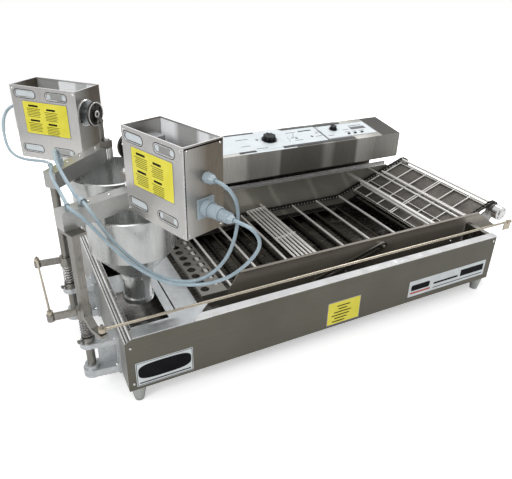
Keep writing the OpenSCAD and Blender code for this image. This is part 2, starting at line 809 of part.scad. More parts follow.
module thermostat_knob() {
    color([0.08, 0.08, 0.08]) on_panel(thermostat_spot[0], thermostat_spot[1]) lobed_knob(thermostat_d, 8, 20);
}

module speed_knob() {
    color([0.08, 0.08, 0.08]) on_panel(speed_spot[0], speed_spot[1]) lobed_knob(speed_d, 6, 16);
}

// Bat toggle on a fixed axis in the middle of its bushing
module toggle_switch(spot) {
    color([0.75, 0.75, 0.75]) on_panel(spot[0], spot[1]) translate([0, 0, panel_t + 3.8]) {
        sphere(ball_r, $fn = 24);
        rotate([0, 90, 0]) cylinder(h = 2 * (ball_r + ball_gap) - 0.6, r = 1.2, center = true, $fn = 24);
        rotate([-8, 0, 0]) cylinder(h = 20, r1 = 2, r2 = 3.2, $fn = 24);
        rotate([-8, 0, 0]) translate([0, 0, 20]) sphere(3.2, $fn = 24);
    }
}

module heat_toggle() {
    toggle_switch(toggle_spots[0]);
}

module motor_toggle() {
    toggle_switch(toggle_spots[1]);
}

module push_button(spot) {
    head = 12;
    travel = 2;
    color([0.12, 0.12, 0.13]) on_panel(spot[0], spot[1]) {
        translate([-head / 2, -head / 3, panel_t + travel]) cube([head, head * 2 / 3, 2.5]);
        translate([0, 0, -5]) cylinder(h = 5 + panel_t + travel + 0.5, r = stem_r, $fn = 24);
    }
}

module up_button() {
    push_button(button_spots[0]);
}

module set_button() {
    push_button(button_spots[1]);
}

module down_button() {
    push_button(button_spots[2]);
}

// Cast bracket: a foot on the cabinet end and two arms that end in bosses for the post
module cast_bracket() {
    foot_t = 9;
    low = [10, 46];
    high = [112, 128];
    bore = post_d / 2 + running_gap;
    boss = 25;
    difference() {
        union() {
            translate([-foot_t, -34, 6]) cube([foot_t, 68, 134]);
            for (level = [low, high]) translate([0, 0, level[0]]) linear_extrude(level[1] - level[0] - (level == low ? 12 : 0)) union() {
                polygon([[-foot_t + eps, -32], [-foot_t + eps, 32], [-post_out, boss - 1], [-post_out, 1 - boss]]);
                translate([-post_out, 0]) circle(boss, $fn = fine);
            }
            translate([-post_out, 0, low[0]]) cylinder(h = low[1] - low[0], r = 20, $fn = fine);
            translate([-post_out + 10, -4, 20]) cube([post_out - foot_t - 6, 8, 100]);
        }
        translate([-post_out, 0, 22]) cylinder(h = 140, r = bore, $fn = fine);
        translate([-post_out, 0, low[1] + eps]) cylinder(h = high[0] - low[1] - 2 * eps, r = 21, $fn = fine);
        for (y = [-24, 24], z = [62, 96]) translate([-foot_t - eps, y, z]) rotate([0, 90, 0]) cylinder(h = 4, r = 5, $fn = 24);
    }
}

module post_brackets() {
    color([0.72, 0.73, 0.73]) for (y = [post_y, post_y + post_gap]) translate([0, y, 0]) cast_bracket();
}

// Coil spring as one unbroken tube, swept by a formula
spring_r = 16.5;
spring_wire = 1.8;
spring_z0 = 128 + seat_gap + 16 + seat_gap + spring_wire;
spring_z1 = arm_z - 20 - seat_gap - spring_wire;
function spring_turn(t) = t < 0.5 ? 0 : t > spring_turns - 0.5 ? 1 : (t - 0.5) / (spring_turns - 1);
function spring_point(t) =
    let (rise = (spring_z1 - spring_z0 - 3 * spring_wire))
    [spring_r * cos(360 * t), spring_r * sin(360 * t),
        spring_z0 + min(t, 0.5) * 3 * spring_wire + spring_turn(t) * rise + max(0, t - spring_turns + 0.5) * 3 * spring_wire];

module post_spring() {
    steps = 8 * spring_turns;
    sides = 6;
    points = [
        for (i = [0:steps]) let (t = i / 8, c = spring_point(t), a = 360 * t)
            for (k = [0:sides - 1]) let (b = 360 * k / sides, w = spring_wire)
                c + [w * cos(b) * cos(a), w * cos(b) * sin(a), w * sin(b)]
    ];
    sweep(points, steps, sides);
}

echo("least gap between spring turns", min([for (i = [0:8 * (spring_turns - 1)])
    norm(spring_point(i / 8 + 1) - spring_point(i / 8)) - 2 * spring_wire]));

module post_springs() {
    color([0.75, 0.75, 0.75]) for (y = [post_y, post_y + post_gap]) translate([post_x, y, 0]) post_spring();
}

// Closes rings of points into one tube with flat ends
module sweep(points, steps, sides) {
    faces = concat(
        [for (i = [0:steps - 1], k = [0:sides - 1]) let (a = i * sides + k, b = i * sides + (k + 1) % sides) [a, b, b + sides]],
        [for (i = [0:steps - 1], k = [0:sides - 1]) let (a = i * sides + k, b = i * sides + (k + 1) % sides) [a, b + sides, a + sides]],
        [for (k = [1:sides - 2]) [0, k + 1, k]],
        [for (k = [1:sides - 2]) [steps * sides, steps * sides + k, steps * sides + k + 1]]
    );
    polyhedron(points = points, faces = faces, convexity = 10);
}

// Post with its collar and thumb screw, and the arm that the link joins
module post(top) {
    collar_h = 16;
    collar_z = 128 + seat_gap;
    arm_h = 20;
    arm_w = 9;
    arm_a = atan2(arm_dy, arm_dx);
    arm_len = sqrt(arm_dx * arm_dx + arm_dy * arm_dy);
    union() {
        translate([0, 0, 22 + seat_gap]) cylinder(h = top - 22 - seat_gap, d = post_d, $fn = fine);
        translate([0, 0, collar_z]) cylinder(h = collar_h, r = post_d / 2 + 6, $fn = fine);
        rotate(200) translate([0, 0, collar_z + collar_h / 2]) rotate([0, 90, 0]) {
            cylinder(h = post_d / 2 + 18, r = 2.5, $fn = 24);
            translate([0, 0, post_d / 2 + 14]) cylinder(h = 5, r = 6, $fn = 12);
        }
        translate([0, 0, arm_z - arm_h]) cylinder(h = 1.6 * arm_h, r = hub_r, $fn = fine);
        rotate(arm_a) translate([0, -arm_w / 2, arm_z - arm_h / 2]) cube([arm_len, arm_w, arm_h]);
        translate([arm_dx, arm_dy, arm_z - arm_h / 2]) cylinder(h = arm_h, r = boss_r, $fn = fine);
        translate([arm_dx, arm_dy, arm_z]) cylinder(h = arm_h / 2 + 16, r = pin_r, $fn = 24);
    }
}

swing_plate_t = 8;

module front_post() {
    color([0.5, 0.49, 0.47]) translate([post_x, post_y, 0]) post(channel_z - swing_plate_t);
}

module rear_post() {
    color([0.5, 0.49, 0.47]) translate([post_x, post_y + post_gap, 0]) post(channel_z);
}

// Channel beside the motor box, with the base plate that the box closes on and the pads for the hopper rim
module channel() {
    u0 = -22;
    u1 = 262;
    v1 = box_v1 + seat_gap + channel_w;
    wall = 3;
    pad_h = box_z - hopper_rim_z;
    difference() {
        union() {
            translate([u0, v1 - channel_w, channel_z]) cube([u1 - u0, channel_w, channel_h]);
            translate([box_u0 + box_t, box_v0 + box_t, box_z]) cube([box_u - 2 * box_t, box_v + seat_gap, box_t]);
        }
        translate([u0 + wall, v1 - channel_w + wall, channel_z + wall]) cube([u1 - u0, channel_w - 2 * wall, channel_h - 2 * wall]);
    }
    for (p = [[89, 0, channel_z], [222, -73.7, box_z], [275, -52.9, box_z]])
        translate([p[0], p[1], hopper_rim_z]) cylinder(h = pad_h, r = 7, $fn = medium);
}

module front_channel() {
    color([0.7, 0.7, 0.69]) at_front() channel();
}

module rear_channel() {
    color([0.7, 0.7, 0.69]) at_rear() channel();
}

// Obround slot through the label face
module box_slot(v, z, l, h) {
    translate([box_u0 - eps, v, z]) {
        translate([0, -l / 2 + h / 2, -h / 2]) cube([box_t + 2 * eps, l - h, h]);
        for (side = [-1, 1]) translate([0, side * (l - h) / 2, 0]) rotate([0, 90, 0]) cylinder(h = box_t + 2 * eps, d = h, $fn = medium);
    }
}

// Sheet-metal motor guard: open at the top, slotted on the label face, with a hole for the motor nose
module motor_box(slots) {
    hem = 1.5;
    slot_l = 74;
    slot_h = 21;
    difference() {
        translate([box_u0, box_v0, box_z]) cube([box_u, box_v, box_h]);
        translate([box_u0 + box_t, box_v0 + box_t, box_z - eps]) cube([box_u - 2 * box_t, box_v - 2 * box_t, box_h - 3]);
        translate([box_u0 + box_t + hem, box_v0 + box_t + hem, box_z])
            cube([box_u - 2 * box_t - 2 * hem, box_v - 2 * box_t - 2 * hem, box_h + eps]);
        for (v = slots, z = [box_z + box_h - 24, box_z + 34]) box_slot(v, z, slot_l, slot_h);
        translate([box_u0 + box_t, box_v1 - box_t - eps, box_z - eps]) cube([box_u - 2 * box_t, box_t + 2 * eps, box_t + eps]);
        translate([plunger_u, box_v1 - box_t - eps, crank_z]) rotate([-90, 0, 0])
            cylinder(h = box_t + 2 * eps, r = nose_r + seat_gap, $fn = fine);
    }
}

module front_box() {
    color([0.66, 0.65, 0.62]) at_front() motor_box([-59, -180]);
}

module rear_box() {
    color([0.66, 0.65, 0.62]) at_rear() motor_box([-82, -197]);
}

// Gear motor on the base plate: gearbox with a round nose through the box, motor can behind it, and a foot
module gearmotor() {
    gear_v0 = -84;
    gear_l = 44;
    can_r = 38;
    can_l = 128;
    shaft_r = 7;
    foot_z = box_z + box_t;
    union() {
        translate([plunger_u, gear_v0 + gear_l - eps, crank_z]) rotate([-90, 0, 0]) cylinder(h = 34, r = nose_r, $fn = fine);
        translate([plunger_u - 36, gear_v0, crank_z - 46]) cube([72, gear_l, 92]);
        translate([plunger_u, gear_v0 - can_l, crank_z]) rotate([-90, 0, 0]) cylinder(h = can_l + eps, r = can_r, $fn = fine);
        translate([plunger_u - 30, gear_v0, foot_z]) cube([60, gear_l, crank_z - foot_z]);
        translate([plunger_u, gear_v0 + gear_l, crank_z]) rotate([-90, 0, 0])
            cylinder(h = crank_v - gear_v0 - gear_l, r = shaft_r, $fn = medium);
    }
}

module front_gearmotor() {
    color([0.72, 0.73, 0.74]) at_front() gearmotor();
}

module rear_gearmotor() {
    color([0.72, 0.73, 0.74]) at_rear() gearmotor();
}

// Crank disc bored for the motor shaft, with its pin at the bottom of the stroke
module crank() {
    v0 = crank_v - crank_t / 2;
    pin_l = 8;
    difference() {
        union() {
            translate([plunger_u, v0, crank_z]) rotate([-90, 0, 0]) cylinder(h = crank_t, d = crank_d, $fn = fine);
            translate([plunger_u, v0 + crank_t, crank_z]) rotate([-90, 0, 0]) cylinder(h = 4, r = 13, $fn = medium);
            translate([plunger_u, v0 + crank_t - eps, crank_z - crank_throw])
                rotate([-90, 0, 0]) cylinder(h = pin_l + eps, r = 5, $fn = medium);
        }
        translate([plunger_u, v0 - eps, crank_z]) rotate([-90, 0, 0])
            cylinder(h = crank_t / 2 + eps + seat_gap, r = 7 + running_gap, $fn = medium);
        for (a = [30, 90, 150]) translate([plunger_u + 24 * cos(a), v0 - eps, crank_z + 24 * sin(a)])
            rotate([-90, 0, 0]) cylinder(h = crank_t + 2 * eps, r = 6, $fn = medium);
    }
}

module front_crank() {
    color([0.2, 0.19, 0.18]) at_front() crank();
}

module rear_crank() {
    color([0.2, 0.19, 0.18]) at_rear() crank();
}

// Connecting rod: its eye stands just off the end of the crank pin, and its foot clamps the plunger rod
conrod_v0 = crank_v + crank_t / 2 + 8 + seat_gap;
conrod_t = 6;
plunger_top = 560;

module conrod() {
    eye_z = crank_z - crank_throw;
    foot_z = plunger_top - 12;
    block = plunger_v - conrod_v0 + 12;
    union() {
        translate([plunger_u, conrod_v0, eye_z]) rotate([-90, 0, 0]) cylinder(h = conrod_t, r = 11, $fn = medium);
        translate([plunger_u, conrod_v0 + conrod_t - eps, eye_z]) rotate([-90, 0, 0]) cylinder(h = 6, r = 8, $fn = 6);
        translate([plunger_u - 7, conrod_v0, foot_z]) cube([14, conrod_t, eye_z - foot_z]);
        difference() {
            translate([plunger_u - 13, conrod_v0, foot_z - 11]) cube([26, block, 22]);
            translate([plunger_u, plunger_v, foot_z - 12]) cylinder(h = 24, r = 8 + running_gap, $fn = medium);
        }
    }
}

module front_conrod() {
    color([0.65, 0.64, 0.62]) at_front() conrod();
}

module rear_conrod() {
    color([0.65, 0.64, 0.62]) at_rear() conrod();
}

// Plunger: rod, piston and the cutter disc that opens below the nozzle
module plunger() {
    rod_r = 8;
    piston_r = nozzle_d / 2 - 4 - 0.1;
    translate([plunger_u, plunger_v, 0]) union() {
        translate([0, 0, nozzle_z + 10]) cylinder(h = plunger_top - nozzle_z - 10, r = rod_r, $fn = medium);
        translate([0, 0, 205]) cylinder(h = 16, r = piston_r, $fn = fine);
        translate([0, 0, nozzle_z + 24]) cylinder(h = 5, r = 22, $fn = fine);
        translate([0, 0, plunger_top]) cylinder(h = 6, r = 11, $fn = 6);
    }
}

module front_plunger() {
    color([0.8, 0.8, 0.8]) at_front() plunger();
}

module rear_plunger() {
    color([0.8, 0.8, 0.8]) at_rear() plunger();
}

// Hopper as a revolved shell: rolled rim, top band, cone, dispensing cylinder and its bolted ring
module hopper() {
    t = 2;
    r = hopper_r;
    n = nozzle_d / 2;
    ring_z = nozzle_z;
    ring_h = 14;
    translate([plunger_u, plunger_v, 0]) rotate_extrude($fn = 96) polygon([
        [r, hopper_rim_z], [r + 4, hopper_rim_z - 2], [r + 4, hopper_rim_z - 22], [r, hopper_rim_z - 24],
        [r - 2, hopper_cone_z], [n + 6, hopper_neck_z + 4], [n + 6, hopper_neck_z - 10], [n, hopper_neck_z - 14],
        [n, ring_z + ring_h], [n + 5, ring_z + ring_h], [n + 5, ring_z], [n - 4, ring_z],
        [n - 4, hopper_neck_z], [r - t - 4, hopper_cone_z + 3], [r - t - 2, hopper_rim_z]
    ]);
}

module front_hopper() {
    color([0.76, 0.76, 0.75]) at_front() hopper();
}

module rear_hopper() {
    color([0.76, 0.76, 0.75]) at_rear() hopper();
}

// Square bar below the front channel, its top plate, and the bent foot with the pin for the drive rod
module front_lever() {
    w = 20;
    plate_z = channel_z - swing_plate_t;
    low = rod_z - 10;
    pin_u = lever_pin[0] * cos(front_angle) + lever_pin[1] * sin(front_angle);
    pin_v = lever_pin[1] * cos(front_angle) - lever_pin[0] * sin(front_angle);
    color([0.48, 0.46, 0.44]) at_front() union() {
        translate([-22, lever_v - w / 2, plate_z]) cube([40, channel_w + 20, swing_plate_t]);
        translate([lever_u - w / 2, lever_v - w / 2, 244]) cube([w, w, plate_z - 244]);
        translate([lever_u - w / 2, 0, 0]) rotate([90, 0, 90]) linear_extrude(w) polygon([
            [lever_v - w / 2, 264], [lever_v + w / 2, 252], [lever_v + w / 2, 238], [-68, low - 12],
            [pin_v - 6, low - 12], [pin_v - 12, low - 8], [pin_v - 12, low], [-70, low], [lever_v - w / 2, 240]
        ]);
        translate([pin_u, pin_v, low - eps]) cylinder(h = 26, r = rod_d / 2, $fn = medium);
    }
}

module sync_link() {
    y0 = post_y + arm_dy;
    y1 = y0 + post_gap;
    x = post_x + arm_dx;
    z = arm_z + 10 + seat_gap;
    h = 10;
    color([0.7, 0.66, 0.55]) difference() {
        union() {
            for (y = [y0, y1]) translate([x, y, z]) cylinder(h = h, r = 7.5, $fn = medium);
            bar_y(x, z + h / 2, y0 + 5, y1 - 5, 3);
        }
        for (y = [y0, y1]) translate([x, y, z - eps]) cylinder(h = h + 2 * eps, r = pin_r + running_gap, $fn = medium);
    }
}

// Long rod from the lever to the discharge end, with its follower blade
module drive_rod() {
    x0 = post_x + lever_pin[0];
    eye_h = 12;
    z0 = rod_z - eye_h / 2;
    color([0.85, 0.82, 0.75]) difference() {
        union() {
            translate([x0, rod_y, z0]) cylinder(h = eye_h, r = 10, $fn = medium);
            bar_x(rod_y, rod_z, x0 + 6, rod_x1, rod_d / 2);
            bar_x(rod_y, rod_z, rod_x1 - 16, rod_x1 + 2, rod_d / 2 + 3);
            translate([rod_x1 - 30, rod_y - 1.5, rod_z - 32]) cube([34, 3, 32]);
        }
        translate([x0, rod_y, z0 - eps]) cylinder(h = eye_h + 2 * eps, r = rod_d / 2 + running_gap, $fn = medium);
    }
}

// Sleeve that holds a cord above the channel: spot is its centre, dir the way the cord runs through it
module cord_clip(spot, dir, bore, long) {
    shell = 2;
    rise = clip_z - channel_z - channel_h;
    translate([spot[0], spot[1], channel_z + channel_h]) difference() {
        union() {
            translate([0, 0, rise]) rotate([-90, 0, dir]) translate([0, 0, -long / 2]) cylinder(h = long, r = bore + shell, $fn = medium);
            cylinder(h = rise, r = 3.5, $fn = medium);
        }
        translate([0, 0, rise]) rotate([-90, 0, dir]) translate([0, 0, -long / 2 - eps])
            cylinder(h = long + 2 * eps, r = bore, $fn = medium);
        translate([-20, -20, -20]) cube([40, 40, 20]);
    }
}

// Nut, body and collar of a cord gland, drawn along z from the wall
module cord_gland() {
    cylinder(h = 6, r = gland_r + 1, $fn = 6);
    cylinder(h = 20, r = gland_r, $fn = medium);
    translate([0, 0, 20]) cylinder(h = 12, r1 = gland_r - 1, r2 = cord_r + 2.5, $fn = medium);
}

gland_l = 32;
cord_gland_tip = box_v0 - gland_l;

module front_cord_fittings() {
    flange = 50;
    color([0.62, 0.68, 0.7]) {
        at_front() translate([gland_u, box_v0, gland_z]) rotate([90, 0, 0]) cord_gland();
        at_front() translate([socket_u, box_v0, socket_z]) rotate([90, 0, 0]) union() {
            translate([-flange / 2, -flange / 2, 0]) cube([flange, flange, 6]);
            cylinder(h = 24, r = 20, $fn = medium);
        }
        cord_clip(clip_front_a, clip_dir, clip_bore, clip_l);
        cord_clip(clip_front_b, 0, axis_bore, axis_l);
    }
}

// Cable plug in the socket, with a grip that narrows to the cord
module front_plug() {
    color([0.66, 0.7, 0.72]) at_front() translate([socket_u, box_v0 - 24 - seat_gap, socket_z]) rotate([90, 0, 0]) union() {
        cylinder(h = 34, r = 17, $fn = medium);
        translate([0, 0, 34]) cylinder(h = 30, r = 14, $fn = 8);
        translate([0, 0, 64]) cylinder(h = plug_l - 64, r1 = 12, r2 = cord_r + 2.5, $fn = medium);
    }
}

module rear_cord_fittings() {
    color([0.62, 0.68, 0.7]) {
        at_rear() translate([gland_u, box_v0, gland_z]) rotate([90, 0, 0]) cord_gland();
        cord_clip(clip_rear_b, 0, axis_bore, axis_l);
        translate([clip_rear_a[0], clip_rear_a[1], channel_z + channel_h]) {
            cylinder(h = 8, r = gland_r - 3, $fn = 6);
            cylinder(h = 20, r = gland_r - 4, $fn = medium);
        }
    }
}

// Place of a point u along and v across a channel; side is 1 at the front and -1 at the rear
function on_arm(y, angle, side, u, v, z) =
    [post_x + u * cos(angle) - side * v * sin(angle), y + u * sin(angle) + side * v * cos(angle), z];
function gland_end(y, angle, side) = on_arm(y, angle, side, gland_u, cord_gland_tip, gland_z);
plug_l = 76;
plug_end = on_arm(post_y, front_angle, 1, socket_u, box_v0 - 24 - seat_gap - plug_l, socket_z);

// Cord routes, in machine coordinates
clip_dir = 20;
clip_front_a = [-38, 126];
clip_front_b = [-75, 112];
clip_rear_b = [-75, 405];
clip_rear_a = [-46, 433];
front_route = [
    gland_end(post_y, front_angle, 1), [243, -94, 624], [256, -110, 612], [268, -115, 588], [275, -113, 556], [276, -107, 516], [270, -100, 470],
    [256, -90, 424], [230, -75, 382], [196, -56, 354], [158, -32, 344], [120, -8, 350], [84, 14, 370], [50, 34, 402],
    [20, 52, 440], [-6, 72, 484], [-24, 92, 522], [-34, 108, 538], [-36.3, 121.3, 540]
];
plug_route = [
    plug_end, [274, -182, 546], [288, -196, 526], [294, -190, 496], [288, -170, 458], [272, -142, 416],
    [246, -114, 380], [210, -85, 356], [170, -55, 344], [128, -29, 344], [86, -3, 364], [46, 20, 396],
    [10, 40, 438], [-22, 56, 484], [-50, 72, 522], [-70, 91, 538], [-75, 111, 540]
];
bridge_a = [
    [-39.7, 130.7, 540], [-44, 143, 541], [-50, 166, 549], [-57, 200, 562], [-63, 240, 575], [-66, 280, 583], [-66, 320, 586],
    [-64, 360, 586], [-60, 392, 585], [-54, 415, 581], [-49, 427, 570], [-46, 433, 549.3]
];
bridge_b = [
    [-75, 113, 540], [-76, 138, 541], [-80, 180, 549], [-84, 220, 555], [-86, 260, 558], [-85, 300, 557], [-81, 340, 550],
    [-75.5, 375, 540.5], [-75, 404, 540]
];
rear_route = [
    [-75, 406, 540], [-78, 430, 540], [-92, 462, 536], [-112, 500, 528], [-136, 542, 522], [-156, 590, 520], [-168, 640, 524],
    [-173, 690, 538], [-172, 736, 560], [-165, 770, 586], [-150, 790, 608], [-129, 789, 622],
    gland_end(post_y + post_gap, rear_angle, -1)
];

function cord_dir(route, i) =
    let (n = len(route), d = i == 0 ? route[1] - route[0] : i == n - 1 ? route[n - 1] - route[n - 2] : route[i + 1] - route[i - 1])
    d / norm(d);
function cord_side(d) = let (s = cross(d, abs(d[2]) > 0.9 ? [1, 0, 0] : [0, 0, 1])) s / norm(s);

// Cord tube swept along a route, with a ring at each of its points; its ends stay square to what they meet
module cord(route, first, last) {
    sides = 10;
    n = len(route);
    points = [
        for (i = [0:n - 1])
            let (d = i == 0 ? first : i == n - 1 ? last : cord_dir(route, i), side = cord_side(d), up = cross(side, d))
            for (k = [0:sides - 1]) let (a = 360 * k / sides) route[i] + cord_r * (cos(a) * side + sin(a) * up)
    ];
    sweep(points, n - 1, sides);
}

box_out = [sin(front_angle), -cos(front_angle), 0];
rear_in_dir = [sin(rear_angle), -cos(rear_angle), 0];
clip_a_dir = [-sin(clip_dir), cos(clip_dir), 0];
cord_colour = [0.68, 0.74, 0.77];

module front_cord() {
    color(cord_colour) cord(front_route, box_out, clip_a_dir);
}

module plug_cord() {
    color(cord_colour) cord(plug_route, box_out, [0, 1, 0]);
}

module bridge_cords() {
    color(cord_colour) {
        cord(bridge_a, clip_a_dir, [0, 0, -1]);
        cord(bridge_b, [0, 1, 0], [0, 1, 0]);
    }
}

module rear_cord() {
    color(cord_colour) cord(rear_route, [0, 1, 0], rear_in_dir);
}

place() cabinet();
place() kettle();
place() front_rim();
place() deck_cover();
place() feed_plate();
place() feet();
place() heating_elements();
place() front_side_plate();
place() rear_side_plate();
place() chain_rails();
place() tie_rods();
place() conveyor_chains();
place() flights();
place() perforated_guard();
place() exit_grid();
place() exit_screen();
place() shaft_bearings();
place() drive_shaft();
place() cam_wheel();
place() idler_shaft();
place() turner_cradle();
place() turner_lever();
place() control_plinth();
place() control_case();
place() control_panel();
place() thermostat_knob();
place() speed_knob();
place() heat_toggle();
place() motor_toggle();
place() up_button();
place() set_button();
place() down_button();
place() post_brackets();
place() post_springs();
place() front_post();
place() front_channel();
place() front_box();
place() front_gearmotor();
place() front_crank();
place() front_conrod();
place() front_plunger();
place() front_hopper();
place() front_lever();
place() front_cord_fittings();
place() front_plug();
place() rear_post();
place() rear_channel();
place() rear_box();
place() rear_gearmotor();
place() rear_crank();
place() rear_conrod();
place() rear_plunger();
place() rear_hopper();
place() rear_cord_fittings();
place() sync_link();
place() drive_rod();
place() front_cord();
place() plug_cord();
place() bridge_cords();
place() rear_cord();
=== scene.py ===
import bmesh
import bpy
import math
from mathutils import Matrix, Vector


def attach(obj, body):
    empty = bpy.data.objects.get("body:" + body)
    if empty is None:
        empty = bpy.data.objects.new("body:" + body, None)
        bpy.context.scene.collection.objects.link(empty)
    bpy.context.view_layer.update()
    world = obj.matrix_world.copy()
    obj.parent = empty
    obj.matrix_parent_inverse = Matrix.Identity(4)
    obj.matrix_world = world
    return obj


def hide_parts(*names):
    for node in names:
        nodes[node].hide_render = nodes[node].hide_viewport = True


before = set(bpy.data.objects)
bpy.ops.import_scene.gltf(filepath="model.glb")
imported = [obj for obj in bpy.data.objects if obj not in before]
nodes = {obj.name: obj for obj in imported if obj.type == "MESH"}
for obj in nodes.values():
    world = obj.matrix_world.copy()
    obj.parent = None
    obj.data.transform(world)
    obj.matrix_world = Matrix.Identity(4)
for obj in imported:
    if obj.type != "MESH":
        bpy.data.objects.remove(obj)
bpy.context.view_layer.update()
scene = bpy.context.scene

# The machine's own frame, as in part.scad: mm, x along the cabinet, y to the rear, z up from its
# underside. The places and sizes below are in it, under part.scad's names where it has them, and P
# and the matrices take them to the row frame, in metres.
CENTRE_X, CENTRE_Y, GROUND_Z = 705.0, 366.6265, -54.0
POST_X, FRONT_POST_Y, REAR_POST_Y = -75, 112, 405
FRONT_ANGLE, REAR_ANGLE = 20, 44
CONTROL_Y, CONTROL_Z, CONTROL_DEPTH, CONTROL_RISE = 607, 406, 182, 25
PLATE_Y = 145
CHAIN_PITCH, IDLER_X, KNEE_X, RUN_Z = 15.875, 380.244, 1170.0, 95.0
INCLINE = math.radians(20.3644)

# Motor box, crank and hopper in the frame of a head: u along its channel, v across it, z up. The
# rear head is mirrored, so v runs the other way there.
BOX_U0, BOX_U1, BOX_V0, BOX_V1, BOX_TOP = 161.5, 282.5, -249, -11, 712
SLOT_ROWS = (688, 513)
HEAD_U, CRANK_Z, HOPPER_V = 204, 640, 50

ORIGIN, X, Y, Z = (0, 0, 0), (1, 0, 0), (0, 1, 0), (0, 0, 1)
TO_FRONT, TO_LEFT = (0, -1, 0), (-1, 0, 0)


def P(x, y, z):
    """A point of the machine in the row frame."""
    return Vector(((x - CENTRE_X) / 1000, (y - CENTRE_Y) / 1000, (z - GROUND_Z) / 1000))


MM = Matrix.Scale(0.001, 4)
MIRROR_V = Matrix.Diagonal((1, -1, 1, 1))


def local(origin, angle, axis):
    """Frame in mm that stands at a point of the machine, turned by an angle in radians."""
    return Matrix.Translation(P(*origin)) @ Matrix.Rotation(angle, 4, axis) @ MM


WORLD = Matrix.Translation(P(0, 0, 0)) @ MM
FRONT = local((POST_X, FRONT_POST_Y, 0), math.radians(FRONT_ANGLE), "Z")
REAR = local((POST_X, REAR_POST_Y, 0), math.radians(REAR_ANGLE), "Z") @ MIRROR_V
PANEL = local((0, CONTROL_Y, CONTROL_Z), math.atan2(CONTROL_RISE, CONTROL_DEPTH), "X")
HEADS = (("front", FRONT), ("rear", REAR))

# Camera, solved from the photograph: place in mm, then degrees to the right, down and of roll
CAMERA_AT = (-187.9, -1118.1, 1096.6)
CAMERA_TURN, CAMERA_DOWN, CAMERA_ROLL = 28.619, 27.517, 2.1735
CAMERA_LENS, CAMERA_SENSOR = 36.748, 36
CAMERA_SHIFT_X, CAMERA_SHIFT_Y = -0.0259, -0.0264
CAMERA_NEAR, CAMERA_FAR = 0.05, 60


def add_camera():
    az, el, roll = (math.radians(a) for a in (CAMERA_TURN, CAMERA_DOWN, CAMERA_ROLL))
    f = Vector((math.sin(az) * math.cos(el), math.cos(az) * math.cos(el), -math.sin(el)))
    r = Vector((math.cos(az), -math.sin(az), 0))
    u = r.cross(f)
    right = math.cos(roll) * r + math.sin(roll) * u
    up = -math.sin(roll) * r + math.cos(roll) * u
    cam = bpy.data.cameras.new("Camera")
    cam.sensor_fit = "HORIZONTAL"
    cam.sensor_width = CAMERA_SENSOR
    cam.lens = CAMERA_LENS
    cam.shift_x = CAMERA_SHIFT_X
    cam.shift_y = CAMERA_SHIFT_Y
    cam.clip_start = CAMERA_NEAR
    cam.clip_end = CAMERA_FAR
    o = bpy.data.objects.new("Camera", cam)
    scene.collection.objects.link(o)
    m = Matrix((right, up, -f)).transposed().to_4x4()
    m.translation = P(*CAMERA_AT)
    o.matrix_world = m
    scene.camera = o


add_camera()

# Materials. Each is kept in M by its name; colours are (red, green, blue), lengths are in metres.
M = {}


def tree(name):
    m = bpy.data.materials.new(name)
    m.use_nodes = True
    M[name] = m
    return m.node_tree, m.node_tree.nodes["Principled BSDF"]


def node(t, kind, **props):
    n = t.nodes.new(kind)
    for k, v in props.items():
        setattr(n, k, v)
    return n


def noise(t, scale, detail, rough, stretch=(1, 1, 1)):
    """Noise in object coordinates; most of it lies between 0.3 and 0.7."""
    co = node(t, "ShaderNodeTexCoord")
    mp = node(t, "ShaderNodeMapping")
    mp.inputs["Scale"].default_value = stretch
    n = node(t, "ShaderNodeTexNoise")
    n.inputs["Scale"].default_value = scale
    n.inputs["Detail"].default_value = detail
    n.inputs["Roughness"].default_value = rough
    t.links.new(co.outputs["Object"], mp.inputs["Vector"])
    t.links.new(mp.outputs["Vector"], n.inputs["Vector"])
    return n.outputs["Fac"]


def spread(t, fac, lo, hi, a=0.3, b=0.7):
    """Spreads what lies between a and b from lo to hi."""
    n = node(t, "ShaderNodeMapRange")
    n.inputs["From Min"].default_value = a
    n.inputs["From Max"].default_value = b
    n.inputs["To Min"].default_value = lo
    n.inputs["To Max"].default_value = hi
    t.links.new(fac, n.inputs["Value"])
    return n.outputs["Result"]


def mix(t, fac, a, b):
    """Colour a where fac is 0 and b where it is 1; each is a colour or a socket."""
    n = node(t, "ShaderNodeMix", data_type="RGBA")
    t.links.new(fac, n.inputs["Factor"])
    for sock, v in (("A", a), ("B", b)):
        s = [i for i in n.inputs if i.name == sock and i.type == "RGBA"][0]
        if isinstance(v, tuple):
            s.default_value = (*v, 1)
        else:
            t.links.new(v, s)
    return [o for o in n.outputs if o.type == "RGBA"][0]


def ramp(t, fac, stops):
    """Colour ramp through (place, colour) stops, which start at 0 and end at 1."""
    n = node(t, "ShaderNodeValToRGB")
    el = n.color_ramp.elements
    for e, (at, colour) in zip(el, (stops[0], stops[-1])):
        e.position, e.color = at, (*colour, 1)
    for at, colour in stops[1:-1]:
        el.new(at).color = (*colour, 1)
    t.links.new(fac, n.inputs["Fac"])
    return n.outputs["Color"]


def scratches(t, grain):
    """Fine lines, which run where the scale in grain is small."""
    return noise(t, 9, 8, 0.7, grain)


def cloud(t):
    """Soft patches of wear."""
    return spread(t, noise(t, 5, 5, 0.6), 0, 0.55, 0.42, 0.75)


def along(t, start, end, before=0.0, upto=1.0):
    """0 to 1 along the run from start to end, between these two shares of its length."""
    run = end - start
    co = node(t, "ShaderNodeTexCoord")
    dot = node(t, "ShaderNodeVectorMath", operation="DOT_PRODUCT")
    dot.inputs[1].default_value = run / run.length
    t.links.new(co.outputs["Object"], dot.inputs[0])
    first, length = start.dot(run) / run.length, run.length
    return spread(t, dot.outputs["Value"], 0, 1, first + before * length, first + upto * length)


